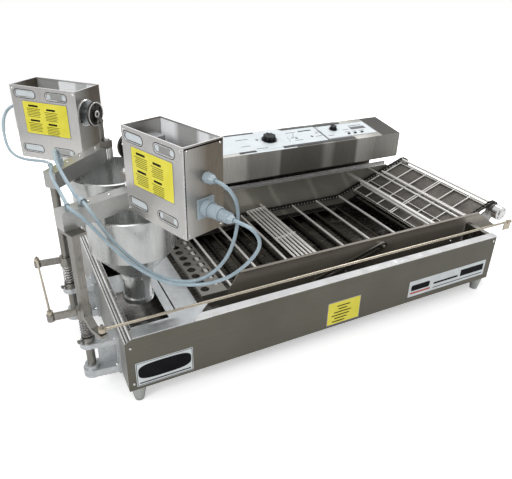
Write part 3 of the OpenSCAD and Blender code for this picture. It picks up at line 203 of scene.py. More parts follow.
def facing(t, direction):
    """1 where the surface faces this way."""
    co = node(t, "ShaderNodeTexCoord")
    look = node(t, "ShaderNodeVectorMath", operation="DOT_PRODUCT")
    look.inputs[1].default_value = direction
    t.links.new(co.outputs["Normal"], look.inputs[0])
    return spread(t, look.outputs["Value"], 0, 1, 0.6, 0.9)


def dimmed(colour, k):
    return tuple(k * c for c in colour)


def surface(t, b, colour, metallic, rough, relief):
    """Base colour, metal, roughness as (noise, lo, hi) and bump as (height, strength, distance)."""
    t.links.new(colour, b.inputs["Base Color"])
    b.inputs["Metallic"].default_value = metallic
    t.links.new(spread(t, *rough), b.inputs["Roughness"])
    n = node(t, "ShaderNodeBump")
    height, strength, distance = relief
    n.inputs["Strength"].default_value = strength
    n.inputs["Distance"].default_value = distance
    t.links.new(height, n.inputs["Height"])
    t.links.new(n.outputs["Normal"], b.inputs["Normal"])


def steel(name, dark, light, rough, grain, metallic=1.0, dent=0.1, spots=0.0,
          grime=(0.10, 0.09, 0.08), glare=None):
    """Brushed sheet with cloudy wear, and where asked for dark spots and patches of glare."""
    t, b = tree(name)
    scratch = scratches(t, grain)
    col = mix(t, cloud(t), mix(t, spread(t, scratch, 0, 1), dark, light), dimmed(dark, 0.82))
    if spots:
        col = mix(t, spread(t, noise(t, 46, 3, 0.6), 0, spots, 0.58, 0.72), col, grime)
    if glare:
        patches = noise(t, 13, 3, 0.5, (1, 2.2, 1))
        col = mix(t, spread(t, patches, 0, 0.55, 0.62, 0.68), col, glare)
    surface(t, b, col, metallic, (scratch, rough - 0.05, rough + 0.09), (scratch, dent, 0.0005))


def polished(name, dark, light, rough, metallic=1.0):
    """Smooth bright metal with faint clouds."""
    t, b = tree(name)
    col = mix(t, spread(t, noise(t, 14, 4, 0.6), 0, 1), dark, light)
    surface(t, b, col, metallic, (noise(t, 30, 3, 0.6), rough - 0.04, rough + 0.08),
            (noise(t, 60, 2, 0.5), 0.05, 0.0004))


def cast(name, dark, light, rough, grainy=420):
    """Rough metal with darker pits, finer as grainy goes up."""
    t, b = tree(name)
    pits = noise(t, grainy, 3, 0.6)
    col = mix(t, spread(t, noise(t, 22, 5, 0.6), 0, 1), dark, light)
    col = mix(t, spread(t, pits, 0, 0.5, 0.45, 0.62), col, dimmed(dark, 0.6))
    surface(t, b, col, 0.85, (pits, rough - 0.05, rough + 0.12), (pits, 0.35, 0.0008))


def plastic(name, dark, light, rough, grainy, strength, coat=0.0, shine=0.5):
    """Moulded plastic or film, with a grain this fine and this strong."""
    t, b = tree(name)
    col = mix(t, spread(t, noise(t, 24, 4, 0.6), 0, 1), dark, light)
    fine = noise(t, grainy, 2, 0.5)
    surface(t, b, col, 0.0, (fine, rough - 0.04, rough + 0.06), (fine, strength, 0.0003))
    b.inputs["Coat Weight"].default_value = coat
    b.inputs["Specular IOR Level"].default_value = shine


def lamp_glass(name, col, glow):
    """Lens of a signal lamp with a weak glow."""
    t, b = tree(name)
    fine = spread(t, noise(t, 900, 2, 0.5), 0, 1)
    t.links.new(mix(t, fine, dimmed(col, 0.7), col), b.inputs["Base Color"])
    b.inputs["Roughness"].default_value = 0.18
    b.inputs["Emission Color"].default_value = (*col, 1)
    b.inputs["Emission Strength"].default_value = glow
    b.inputs["Coat Weight"].default_value = 0.6


def banded(name, stops, start, end, dark, light, rough, grain=(90, 90, 2), metallic=0.6, wear=0.45):
    """Brushed sheet with painted reflections and shade: bands of light and dark across the run from
    start to end.
    """
    t, b = tree(name)
    wobble = node(t, "ShaderNodeMath", operation="ADD")
    t.links.new(along(t, start, end), wobble.inputs[0])
    uneven = noise(t, 6, 3, 0.5, (1, 1, 0.2))
    t.links.new(spread(t, uneven, -0.012, 0.012), wobble.inputs[1])
    tone = ramp(t, wobble.outputs[0], [(at, (v, v, v)) for at, v in stops])
    scratch = scratches(t, grain)
    col = mix(t, spread(t, scratch, 0, wear), mix(t, tone, dark, light), dimmed(dark, 0.55))
    surface(t, b, col, metallic, (scratch, rough - 0.05, rough + 0.1), (scratch, 0.08, 0.0005))


def guard(name, direction, near, far):
    """Sheet with a painted reflection of a warm dark room on the side that faces this way, less at
    its near end.
    """
    t, b = tree(name)
    scratch = scratches(t, (60, 60, 4))
    grey = mix(t, spread(t, scratch, 0, 1), (0.67, 0.655, 0.63), (0.79, 0.775, 0.75))
    # The brown is the painted reflection of the dark room
    brown = mix(t, spread(t, scratch, 0, 1), (0.15, 0.128, 0.100), (0.23, 0.200, 0.160))
    side = mix(t, along(t, near, far, -0.25, 0.6), grey, brown)
    col = mix(t, facing(t, direction), grey, side)
    surface(t, b, col, 0.85, (scratch, 0.31, 0.45), (scratch, 0.08, 0.0005))


def front_shaded(name, direction, front, rest, rough, grain, metallic):
    """Brushed sheet with two (dark, light) pairs: front where it faces this way, as painted shade,
    rest elsewhere.
    """
    t, b = tree(name)
    scratch = scratches(t, grain)
    tones = [mix(t, spread(t, scratch, 0, 1), *pair) for pair in (rest, front)]
    col = mix(t, cloud(t), mix(t, facing(t, direction), *tones), dimmed(front[0], 0.82))
    surface(t, b, col, metallic, (scratch, rough - 0.05, rough + 0.09), (scratch, 0.1, 0.0005))


def low_dark_rod(name, level):
    """Bright rod, dark brown below this height."""
    t, b = tree(name)
    bright = mix(t, spread(t, noise(t, 14, 4, 0.6), 0, 1), (0.88, 0.86, 0.82), (0.97, 0.95, 0.91))
    brown = mix(t, spread(t, noise(t, 30, 4, 0.6), 0, 1), (0.05, 0.042, 0.033), (0.12, 0.10, 0.08))
    co = node(t, "ShaderNodeTexCoord")
    sep = node(t, "ShaderNodeSeparateXYZ")
    t.links.new(co.outputs["Object"], sep.inputs["Vector"])
    col = mix(t, spread(t, sep.outputs["Z"], 0, 1, level, level + 0.008), brown, bright)
    surface(t, b, col, 0.5, (noise(t, 30, 3, 0.6), 0.16, 0.28),
            (noise(t, 60, 2, 0.5), 0.05, 0.0004))


def mesh_cloth(name, dark, light):
    """Woven wire: two sets of fine threads, stained in patches."""
    t, b = tree(name)
    co = node(t, "ShaderNodeTexCoord")
    top = node(t, "ShaderNodeMath", operation="MAXIMUM")
    for i, axis in enumerate(("X", "Y")):
        w = node(t, "ShaderNodeTexWave", wave_type="BANDS", bands_direction=axis)
        w.inputs["Scale"].default_value = 48
        w.inputs["Distortion"].default_value = 0.3
        t.links.new(co.outputs["Object"], w.inputs["Vector"])
        t.links.new(w.outputs["Fac"], top.inputs[i])
    threads = mix(t, spread(t, top.outputs[0], 0, 1, 0.55, 0.98), dark, light)
    col = mix(t, spread(t, noise(t, 9, 5, 0.6), 0, 0.7, 0.45, 0.7), threads, dimmed(dark, 0.6))
    surface(t, b, col, 0.7, (noise(t, 40, 2, 0.5), 0.42, 0.6), (top.outputs[0], 0.5, 0.0006))


# Painted reflections and shade on the long sheets and the insides of the boxes, as (place along the
# run, tone) stops.
# The places were read off enlarged crops of the photograph, and the tones are given.
CASE_BANDS = [
    (0.0, 0.75), (0.17, 0.9), (0.24, 1.0), (0.29, 0.9), (0.31, 0.42), (0.40, 0.45), (0.435, 0.62),
    (0.445, 0.14), (0.55, 0.10), (0.61, 0.12), (0.635, 0.42), (0.66, 0.40), (0.68, 0.12),
    (0.765, 0.14), (0.777, 0.72), (0.83, 0.60), (0.88, 0.34), (1.0, 0.42)]
PLATE_BANDS = [
    (0.0, 0.40), (0.10, 0.42), (0.14, 0.75), (0.155, 0.45), (0.22, 0.62), (0.235, 0.98),
    (0.25, 0.60), (0.31, 0.80), (0.325, 0.40), (0.40, 0.44), (0.415, 0.85), (0.43, 0.35),
    (0.55, 0.30), (0.565, 0.70), (0.58, 0.28), (0.70, 0.32), (0.715, 0.6), (0.73, 0.26),
    (1.0, 0.34)]
# On the front side plate: a painted highlight near the top and painted shade lower down
SIDE_BANDS = [
    (0.0, 0.20), (0.05, 0.45), (0.12, 0.95), (0.22, 0.80), (0.34, 0.46), (0.50, 0.34),
    (0.62, 0.20), (0.80, 0.06), (1.0, 0.02)]
LINER_FRONT = [
    (0.0, 1.0), (0.23, 1.0), (0.27, 0.75), (0.32, 0.30), (0.60, 0.25), (0.66, 0.9), (0.78, 1.0),
    (0.84, 0.45), (0.90, 0.8), (1.0, 0.95)]
LINER_REAR = [
    (0.0, 0.24), (0.36, 0.20), (0.375, 1.0), (0.62, 1.0), (0.66, 0.55), (0.80, 0.50),
    (0.84, 1.0), (1.0, 1.0)]

# Painted shade: the cabinet is darker olive on its faces toward the front and lighter elsewhere.
# Painted reflection: each guard is brown on its front wall.
# METRE is in mm, so that a direction of a local frame has length 1 in the row frame.
METRE = 1000
front_shaded("panel_dark", Vector(TO_FRONT), ((0.122, 0.116, 0.092), (0.165, 0.158, 0.128)),
         ((0.27, 0.27, 0.255), (0.42, 0.42, 0.40)), 0.42, (0.6, 70, 70), 0.75)
for key, m, outward, v in (("front", FRONT, -METRE, BOX_V0), ("rear", REAR, METRE, BOX_V1)):
    guard("guard_" + key, m.to_3x3() @ Vector((0, outward, 0)),
          m @ Vector((BOX_U0 - 0.5, v, 600)), m @ Vector((BOX_U1 + 0.5, v, 600)))
for key, m, stops, v0, v1 in (("front", FRONT, LINER_FRONT, BOX_V1, BOX_V0),
                              ("rear", REAR, LINER_REAR, BOX_V0, BOX_V1)):
    banded("liner_" + key, stops, m @ Vector((BOX_U1 - 0.5, v0, 700)),
           m @ Vector((BOX_U1 - 0.5, v1, 700)),
           (0.16, 0.155, 0.14), (0.97, 0.98, 0.99), 0.42, metallic=0.0, wear=0.08)
banded("case", CASE_BANDS, P(330, 0, 0), P(1400, 0, 0),
       (0.10, 0.094, 0.075), (0.90, 0.885, 0.83), 0.34)
banded("plate", PLATE_BANDS, P(330, 0, 120), P(1265, 0, 680),
       (0.26, 0.245, 0.20), (0.90, 0.87, 0.78), 0.32, (2, 90, 90), metallic=0.5)
banded("outer_plate", SIDE_BANDS, P(0, 0, 215), P(0, 0, 55),
       (0.085, 0.076, 0.060), (0.52, 0.475, 0.40), 0.36, (0.6, 70, 70), metallic=0.35)
low_dark_rod("low_dark", P(0, 0, 74).z)
mesh_cloth("mesh", (0.035, 0.031, 0.026), (0.17, 0.155, 0.135))

steel("perforated", (0.20, 0.19, 0.17), (0.34, 0.325, 0.295), 0.30, (3, 60, 60), 0.8, 0.05)
steel("sheet", (0.30, 0.295, 0.285), (0.46, 0.455, 0.44), 0.30, (60, 60, 3))
steel("case_dark", (0.026, 0.023, 0.018), (0.052, 0.046, 0.037), 0.42, (2, 90, 90), 0.6)
steel("strip", (0.03, 0.03, 0.03), (0.10, 0.105, 0.11), 0.40, (2, 90, 90), 0.5)
steel("plinth", (0.18, 0.17, 0.155), (0.27, 0.255, 0.235), 0.38, (2, 60, 60), 0.8, 0.04)
steel("bright", (0.42, 0.42, 0.405), (0.60, 0.60, 0.58), 0.36, (3, 60, 60), 0.75, 0.06)
steel("hopper", (0.46, 0.47, 0.46), (0.64, 0.65, 0.64), 0.27, (4, 4, 0.3), 0.85, 0.01)
steel("deck", (0.54, 0.555, 0.56), (0.70, 0.72, 0.73), 0.32, (5, 5, 5), dent=0.03)
steel("rail", (0.84, 0.84, 0.83), (0.95, 0.95, 0.94), 0.26, (2, 60, 60), 0.5, 0.02)
steel("kettle", (0.20, 0.19, 0.175), (0.42, 0.405, 0.375), 0.24, (3, 30, 30), spots=0.6,
      grime=(0.02, 0.018, 0.014), glare=(0.78, 0.84, 0.88))
steel("post", (0.20, 0.19, 0.17), (0.36, 0.345, 0.315), 0.30, (60, 60, 4), spots=0.4)
steel("foot", (0.38, 0.39, 0.37), (0.58, 0.59, 0.56), 0.34, (40, 40, 8), 0.8, spots=0.3)
steel("motor", (0.42, 0.43, 0.44), (0.66, 0.67, 0.68), 0.26, (3, 60, 60))

polished("polished", (0.66, 0.66, 0.65), (0.82, 0.82, 0.81), 0.12)
polished("rod", (0.88, 0.86, 0.82), (0.97, 0.95, 0.91), 0.20, 0.5)
polished("brass", (0.46, 0.41, 0.32), (0.60, 0.54, 0.43), 0.24, 0.75)
cast("cast", (0.50, 0.52, 0.53), (0.70, 0.72, 0.73), 0.40)
cast("iron", (0.05, 0.047, 0.042), (0.11, 0.10, 0.09), 0.40, 300)

plastic("black", (0.005, 0.005, 0.006), (0.012, 0.012, 0.014), 0.34, 700, 0.1, shine=0.3)
plastic("ink", (0.004, 0.004, 0.005), (0.010, 0.010, 0.012), 0.6, 500, 0.04, shine=0.08)
plastic("yellow", (0.80, 0.72, 0.06), (0.88, 0.80, 0.10), 0.4, 500, 0.05, shine=0.3)
plastic("violet", (0.17, 0.16, 0.30), (0.26, 0.25, 0.40), 0.30, 500, 0.05, 0.3)
plastic("white", (0.62, 0.66, 0.67), (0.72, 0.76, 0.77), 0.34, 500, 0.05, 0.3)
plastic("red", (0.42, 0.03, 0.02), (0.52, 0.05, 0.03), 0.34, 500, 0.04, 0.3)
plastic("film", (0.63, 0.68, 0.70), (0.71, 0.76, 0.78), 0.34, 500, 0.05, 0.2)
plastic("grey", (0.30, 0.37, 0.41), (0.42, 0.50, 0.54), 0.34, 500, 0.2, 0.2)
plastic("cord", (0.27, 0.36, 0.41), (0.38, 0.47, 0.52), 0.36, 700, 0.2, 0.2)
plastic("display", (0.03, 0.04, 0.045), (0.05, 0.06, 0.065), 0.12, 900, 0.02, 0.6)
lamp_glass("lamp_clear", (0.52, 0.50, 0.46), 0.04)

# CAD nodes that keep their shape, by the material each gets
DRESS = {
    "panel_dark": ["cabinet"],
    "guard_front": ["front_box"],
    "guard_rear": ["rear_box"],
    "case": ["control_case"],
    "plate": ["rear_side_plate"],
    "outer_plate": ["front_side_plate"],
    "sheet": ["chain_rails", "shaft_bearings"],
    "perforated": ["perforated_guard"],
    "bright": ["front_channel", "rear_channel"],
    "hopper": ["front_hopper", "rear_hopper"],
    "deck": ["deck_cover", "feed_plate"],
    "kettle": ["kettle"],
    "polished": ["front_rim", "front_plunger", "rear_plunger", "heat_toggle", "motor_toggle",
                 "cam_wheel", "post_springs"],
    "rod": ["tie_rods", "exit_grid", "turner_cradle", "idler_shaft"],
    "low_dark": ["flights"],
    "post": ["turner_lever", "drive_shaft", "front_post", "rear_post", "front_lever",
             "front_conrod", "rear_conrod"],
    "plinth": ["control_plinth"],
    "foot": ["feet"],
    "cast": ["post_brackets"],
    "iron": ["conveyor_chains", "heating_elements", "front_crank", "rear_crank"],
    "mesh": ["exit_screen"],
    "brass": ["sync_link", "drive_rod"],
    "black": ["thermostat_knob", "speed_knob", "up_button", "set_button", "down_button"],
    "film": ["control_panel"],
    "grey": ["front_cord_fittings", "rear_cord_fittings", "front_plug"],
    "motor": ["front_gearmotor", "rear_gearmotor"],
}
for key, names in DRESS.items():
    for name in names:
        if not nodes[name].data.materials:
            nodes[name].data.materials.append(M[key])
        for place in nodes[name].material_slots:
            place.material = M[key]


# Mesh pieces: edges up to this angle are shaded smooth
SMOOTH_ANGLE = math.radians(35)


def piece(name, verts, faces, m, mat, body, smooth):
    """A mesh object with points in the frame m, which rides on a body."""
    me = bpy.data.meshes.new(name)
    me.from_pydata([m @ Vector(v) for v in verts], [], faces)
    me.validate()
    me.materials.append(M[mat])
    bm = bmesh.new()
    bm.from_mesh(me)
    bmesh.ops.recalc_face_normals(bm, faces=bm.faces)
    bm.to_mesh(me)
    bm.free()
    for p in me.polygons:
        p.use_smooth = smooth
    o = bpy.data.objects.new(name, me)
    scene.collection.objects.link(o)
    if smooth:
        bpy.context.view_layer.objects.active = o
        o.select_set(True)
        bpy.ops.object.shade_smooth_by_angle(angle=SMOOTH_ANGLE)
        o.select_set(False)
    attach(o, body)
    return o


def axes_of(axis):
    """The axis and two directions across it."""
    a = Vector(axis).normalized()
    s = a.orthogonal().normalized()
    return a, s, a.cross(s)


def circle(centre, s, t, r, n):
    """n points round a centre, in the plane of s and t."""
    turns = [2 * math.pi * i / n for i in range(n)]
    return [centre + (s * math.cos(w) + t * math.sin(w)) * r for w in turns]


def skin(rings, n, loop=False):
    """Faces between rings of n points, closed by two ends or, in a loop, back on the first ring."""
    f = []
    for j in range(rings if loop else rings - 1):
        near, far = j * n, (j + 1) % rings * n
        f += [(near + i, near + (i + 1) % n, far + (i + 1) % n, far + i) for i in range(n)]
    if not loop:
        f += [tuple(range(n))[::-1], tuple((rings - 1) * n + i for i in range(n))]
    return f


class Build:
    """Gathers verts and faces of several forms in one piece, in mm of a local frame."""

    def __init__(self):
        self.v, self.f = [], []

    def add(self, v, f):
        n = len(self.v)
        self.v += [tuple(p) for p in v]
        self.f += [tuple(i + n for i in q) for q in f]
        return self

    def lathe(self, at, axis, profile, seg):
        """A turned form. profile: (height along the axis, radius) pairs; the ends are closed."""
        a, s, t = axes_of(axis)
        v = [p for h, r in profile for p in circle(Vector(at) + a * h, s, t, r, seg)]
        return self.add(v, skin(len(profile), seg))

    def tube(self, at, axis, r0, r1, h, seg=40):
        """An open ring from radius r0 to r1, h high along the axis, its outer edge eased."""
        a, s, t = axes_of(axis)
        e = min(0.3 * h, 0.3 * (r1 - r0))
        rings = [(0, r0), (0, r1), (h - e, r1), (h, r1 - e), (h, r0)]
        v = [p for z, r in rings for p in circle(Vector(at) + a * z, s, t, r, seg)]
        return self.add(v, skin(len(rings), seg, loop=True))

    def slab(self, outline, at, ex, ey, h, bevel=0.0):
        """A flat plate in the plane of ex and ey through a point, h thick, its top edge eased."""
        ex, ey, at = Vector(ex).normalized(), Vector(ey).normalized(), Vector(at)
        up = ex.cross(ey)
        n = len(outline)
        cx = sum(p[0] for p in outline) / n
        cy = sum(p[1] for p in outline) / n
        rings = [(0, 0), (h - bevel, 0), (h, bevel)] if bevel else [(0, 0), (h, 0)]
        v = []
        for z, inset in rings:
            for x, y in outline:
                k = 1 - inset / (math.hypot(x - cx, y - cy) or 1)
                v.append(at + ex * (cx + (x - cx) * k) + ey * (cy + (y - cy) * k) + up * z)
        return self.add(v, skin(len(rings), n))

    def border(self, rect, r, width, inner_r, at, ex, ey, h):
        """A flat frame of this width along the inside of a rounded rectangle, h thick."""
        ex, ey, at = Vector(ex).normalized(), Vector(ey).normalized(), Vector(at)
        up = ex.cross(ey)
        x0, y0, x1, y1 = rect
        outer = rounded(x0, y0, x1, y1, r)
        inner = rounded(x0 + width, y0 + width, x1 - width, y1 - width, inner_r)
        n = len(outer)
        v = [at + ex * x + ey * y + up * z for z in (0, h) for o in (outer, inner) for x, y in o]
        f = []
        for i in range(n):
            k = (i + 1) % n
            f += [(2 * n + i, 2 * n + k, 3 * n + k, 3 * n + i), (i, k, n + k, n + i),
                  (i, k, 2 * n + k, 2 * n + i), (n + i, n + k, 3 * n + k, 3 * n + i)]
        return self.add(v, f)

    def make(self, name, m, mat, body, slot, smooth=True):
        return piece(name, self.v, self.f, m, mat, body, smooth)


def rounded(x0, y0, x1, y1, r, steps=5):
    """Outline of a rectangle with corners of radius r."""
    pts = []
    for cx, cy, a0 in ((x1 - r, y0 + r, -90), (x1 - r, y1 - r, 0),
                       (x0 + r, y1 - r, 90), (x0 + r, y0 + r, 180)):
        for i in range(steps + 1):
            a = math.radians(a0 + 90 * i / steps)
            pts.append((cx + r * math.cos(a), cy + r * math.sin(a)))
    return pts


def oval(cx, cy, a, b, seg, power):
    """Outline of a superellipse: power 2 is an ellipse, and more is squarer."""
    pts = []
    for i in range(seg):
        w = 2 * math.pi * i / seg
        c, s = math.cos(w), math.sin(w)
        pts.append((cx + a * math.copysign(abs(c) ** (2 / power), c),
                    cy + b * math.copysign(abs(s) ** (2 / power), s)))
    return pts


# Cords: smooth tubes on the routes of the CAD cords. Radius and step along the route in metres.
CORD_R, CORD_SIDES, CORD_STEP = 0.0045, 16, 0.012


def smooth_route(points):
    """A smooth curve through the points, at even short steps."""
    pts = [Vector(p) for p in points]
    out = []
    for i in range(len(pts) - 1):
        p0 = pts[i - 1] if i else pts[0] * 2 - pts[1]
        p3 = pts[i + 2] if i + 2 < len(pts) else pts[-1] * 2 - pts[-2]
        p1, p2 = pts[i], pts[i + 1]
        n = max(2, round((p2 - p1).length / CORD_STEP))
        for k in range(n):
            t = k / n
            a = p1 * 2
            b = (p2 - p0) * t
            c = (p0 * 2 - p1 * 5 + p2 * 4 - p3) * t * t
            d = (p1 * 3 - p0 - p2 * 3 + p3) * t * t * t
            out.append((a + b + c + d) * 0.5)
    out.append(pts[-1])
    return out


def cord(name, route, body, replaces):
    path = smooth_route([P(*p) for p in route])
    v = []
    side = None
    for i, p in enumerate(path):
        d = (path[min(i + 1, len(path) - 1)] - path[max(i - 1, 0)]).normalized()
        if side is None:
            side = d.orthogonal().normalized()
        side = (side - d * side.dot(d)).normalized()
        v += circle(p, side, d.cross(side), CORD_R, CORD_SIDES)
    f = skin(len(path), CORD_SIDES)
    o = piece(name, v, f, Matrix.Identity(4), "cord", body, True)
    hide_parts(replaces)


FRONT_ROUTE = [
    (235.36, -74.07, 626), (243, -94, 624), (256, -110, 612), (268, -115, 588), (275, -113, 556),
    (276, -107, 516), (270, -100, 470), (256, -90, 424), (230, -75, 382), (196, -56, 354),
    (158, -32, 344), (120, -8, 350), (84, 14, 370), (50, 34, 402), (20, 52, 440), (-6, 72, 484),
    (-24, 92, 522), (-34, 108, 538), (-36.3, 121.3, 540)]
PLUG_ROUTE = [
    (253.08, -140.31, 550), (274, -182, 546), (288, -196, 526), (294, -190, 496),
    (288, -170, 458), (272, -142, 416), (246, -114, 380), (210, -85, 356), (170, -55, 344),
    (128, -29, 344), (86, -3, 364), (46, 20, 396), (10, 40, 438), (-22, 56, 484), (-50, 72, 522),
    (-70, 91, 538), (-75, 111, 540)]
BRIDGE_A_ROUTE = [
    (-39.7, 130.7, 540), (-44, 143, 541), (-50, 166, 549), (-57, 200, 562), (-63, 240, 575),
    (-66, 280, 583), (-66, 320, 586), (-64, 360, 586), (-60, 392, 585), (-54, 415, 581),
    (-49, 427, 570), (-46, 433, 549.3)]
BRIDGE_B_ROUTE = [
    (-75, 113, 540), (-76, 138, 541), (-80, 180, 549), (-84, 220, 555), (-86, 260, 558),
    (-85, 300, 557), (-81, 340, 550), (-75.5, 375, 540.5), (-75, 404, 540)]
REAR_ROUTE = [
    (-75, 406, 540), (-78, 430, 540), (-92, 462, 536), (-112, 500, 528), (-136, 542, 522),
    (-156, 590, 520), (-168, 640, 524), (-173, 690, 538), (-172, 736, 560), (-165, 770, 586),
    (-150, 790, 608), (-129, 789, 622), (-106.19, 765.52, 626)]

cord("front_cord_tube", FRONT_ROUTE, "front_head", "front_cord")
cord("plug_cord_tube", PLUG_ROUTE, "front_head", "plug_cord")
cord("bridge_cord_a", BRIDGE_A_ROUTE, "machine", "bridge_cords")
cord("bridge_cord_b", BRIDGE_B_ROUTE, "machine", "bridge_cords")
cord("rear_cord_tube", REAR_ROUTE, "rear_head", "rear_cord")


# Bare label plates on the front panel, with plain bars where the real ones carry words
def on_front(build, outline, lift, h, bevel=0.0):
    """A plate on the front panel: outline in x and z, lifted off the panel, h thick."""
    return build.slab(outline, (0, -lift, 0), X, Z, h, bevel)


def label(build, name, mat, smooth=True):
    build.make(name, WORLD, mat, "machine", "panel_film", smooth)


label(on_front(Build(), rounded(22, 10, 188, 93, 3), 0.0, 0.8, 0.3), "plate_left", "white")
marks = Build().border((24, 12, 186, 91), 2, 1.5, 1.5, (0, -0.8, 0), X, Z, 0.2)
on_front(marks, oval(105, 57, 77, 27, 56, 3.4), 0.8, 0.25)
on_front(marks, rounded(30, 18, 180, 22, 1), 0.8, 0.2)
label(marks, "plate_left_marks", "ink")

label(on_front(Build(), rounded(650, 8, 782, 100, 4), 0.0, 0.4, 0.2), "plate_yellow_edge", "violet")
label(on_front(Build(), rounded(652.5, 10.5, 779.5, 97.5, 3), 0.4, 0.3, 0.1), "plate_yellow",
      "yellow")
marks = Build()
YELLOW_BARS = ((686, 738), (692, 728), (676, 744), (668, 738), (680, 730), (672, 722))
for i, (x0, x1) in enumerate(YELLOW_BARS):
    on_front(marks, rounded(x0, 78 - 12 * i, x1, 82 - 12 * i, 1), 0.7, 0.15)
label(marks, "plate_yellow_marks", "ink", False)

label(on_front(Build(), rounded(995, 22, 1372, 88, 3), 0.0, 0.8, 0.3), "plate_right", "white")
label(on_front(Build(), rounded(1004, 33, 1098, 40, 2), 0.8, 0.25), "plate_right_red", "red")
marks = Build()
for outline in ((1112, 32, 1364, 35, 1), (1006, 46, 1092, 70, 6), (1112, 48, 1232, 56, 2),
                (1244, 46, 1362, 74, 2)):
    on_front(marks, rounded(*outline), 0.8, 0.2)
label(marks, "plate_right_marks", "ink")


# Middle of the box labels in v, about which the rear one is mirrored
LABEL_MIDDLE = -129


def box_label(name, m, body, mirrored):
    """Yellow label with a violet edge and two columns of bars, on a motor box's slotted wall."""
    edge = Build().slab(rounded(-212, 562, -46, 668, 3), (BOX_U0, 0, 0), Y, Z, -0.3)
    edge.make(name + "_film", m, "violet", body, "panel_film")
    face = Build().slab(rounded(-210, 564, -48, 666, 2), (BOX_U0 - 0.3, 0, 0), Y, Z, -0.3)
    face.make(name + "_face", m, "yellow", body, "panel_film")
    marks = Build()
    for column, (v0, v1) in enumerate(((-112, -60), (-174, -126))):
        if mirrored:
            v0, v1 = 2 * LABEL_MIDDLE - v1, 2 * LABEL_MIDDLE - v0
        for block in (0, 1):
            top = 656 - 46 * block - 7 * column
            bars = [(v0 + 8, top - 6, v1 - 8, top, 1.5)]
            for i in range(6):
                z = top - 11 - 5 * i
                bars.append((v0 + (i % 3), z - 1.6, v1 - (i * 5) % 7, z, 0.5))
            for bar in bars:
                marks.slab(rounded(*bar), (BOX_U0 - 0.6, 0, 0), Y, Z, -0.1)
    marks.make(name + "_marks", m, "ink", body, "panel_film", False)


# Planes in which the linings of a motor box lie: behind the slots, in their ends, and inside the
# far wall and the side wall
LINING_U, SLOT_END_U, FAR_LINING_U, SIDE_LINING_V = 164.2, 163.4, 280.4, -13.2


def box_finish(name, m, body, bright_v, dull_v, liner):
    """Linings behind the slots and inside an open motor box, the far one with painted reflections,
    painted highlights on its rim, its corner and round its slots, and dark lines along its corner
    and under its rim, with painted shadow round its slots.

    bright_v and dull_v are the places of its two columns of slots.
    """
    def done(build, part, mat, smooth=False):
        build.make(name + part, m, mat, body, "sheet_steel", smooth)

    def slot_borders(build, a, b, r, width, inner_r, h):
        for v in (bright_v, dull_v):
            for z in SLOT_ROWS:
                rect = (v - a, z - b, v + a, z + b)
                build.border(rect, r, width, inner_r, (BOX_U0, 0, 0), Y, Z, h)

    for tone, v in (("film", bright_v), ("bright", dull_v)):
        b = Build()
        for z in SLOT_ROWS:
            b.slab(rounded(v - 35, z - 9, v + 35, z + 9, 8), (LINING_U, 0, 0), Y, Z, 0.6, 0.2)
        done(b, "_slot_lining_" + tone, tone, True)
    b = Build()
    for end in (-27, 27):
        for z in SLOT_ROWS:
            b.slab(oval(dull_v + end, z, 6.5, 7.5, 24, 2.6), (SLOT_END_U, 0, 0), Y, Z, 0.5, 0.2)
    done(b, "_slot_ends", "film", True)
    # Painted highlights: bright rings round the slots, on the rim and along the corner
    b = Build()
    slot_borders(b, 38.5, 12, 11.5, 1.7, 10, -0.5)
    rim = (BOX_U0 + 0.1, BOX_V0 + 0.1, BOX_U1 - 0.1, BOX_V1 - 0.1)
    b.border(rim, 1, 3.4, 1, (0, 0, BOX_TOP), X, Y, 0.3)
    b.slab(rounded(-248.6, 480, -247.0, 711, 0.5), (BOX_U0, 0, 0), Y, Z, -0.2)
    b.slab(rounded(162.0, 480, 163.6, 711, 0.5), (0, BOX_V0, 0), X, Z, 0.2)
    done(b, "_edge_highlights", "rail")
    # Dark lines along the corner and under the rim, and painted shadow round the slots
    b = Build()
    b.slab(rounded(163.7, 482, 166.4, 707, 0.5), (0, BOX_V0, 0), X, Z, 0.15)
    b.slab(rounded(164.0, 704.6, 282.0, 708.2, 0.5), (0, BOX_V0, 0), X, Z, 0.15)
    slot_borders(b, 40.6, 14, 13, 1.9, 11.6, -0.25)
    done(b, "_dark_lines", "ink")
    done(Build().slab(rounded(-246, 520, -14, 708, 1), (FAR_LINING_U, 0, 0), Y, Z, -0.4),
         "_lining", liner)
    done(Build().slab(rounded(164.5, 600, 280, 708, 1), (0, SIDE_LINING_V, 0), X, Z, 0.4),
         "_side_lining", "sheet")


box_label("front_label", FRONT, "front_head", False)
box_label("rear_label", REAR, "rear_head", True)
box_finish("front_box", FRONT, "front_head", -59, -180, "liner_front")
box_finish("rear_box", REAR, "rear_head", -197, -82, "liner_rear")

# Screws and bolts: a domed head with a recess, as (height, radius) in shares of its radius r
DOMED_HEAD = ((0, 1), (0.35, 1), (0.7, 0.82), (0.85, 0.5), (0.6, 0.42))
BOX_SCREW_ROWS = (489, 702)


def screws(name, m, body, spots, axis, r):
    b = Build()
    for s in spots:
        b.lathe(s, axis, [(h * r, q * r) for h, q in DOMED_HEAD], 16)
    b.make(name, m, "polished", body, "polished_steel")


for name, m in HEADS:
    body = name + "_head"
    screws(name + "_box_screws", m, body,
           [(BOX_U0, v, z) for v in (-240, -20) for z in BOX_SCREW_ROWS], TO_LEFT, 3.2)
    screws(name + "_box_face_screws", m, body,
           [(u, BOX_V0, z) for u in (172, 272) for z in BOX_SCREW_ROWS], TO_FRONT, 3.2)
    screws(name + "_channel_screws", m, body, [(u, 9, 529) for u in (60, 120, 200)], Z, 5)

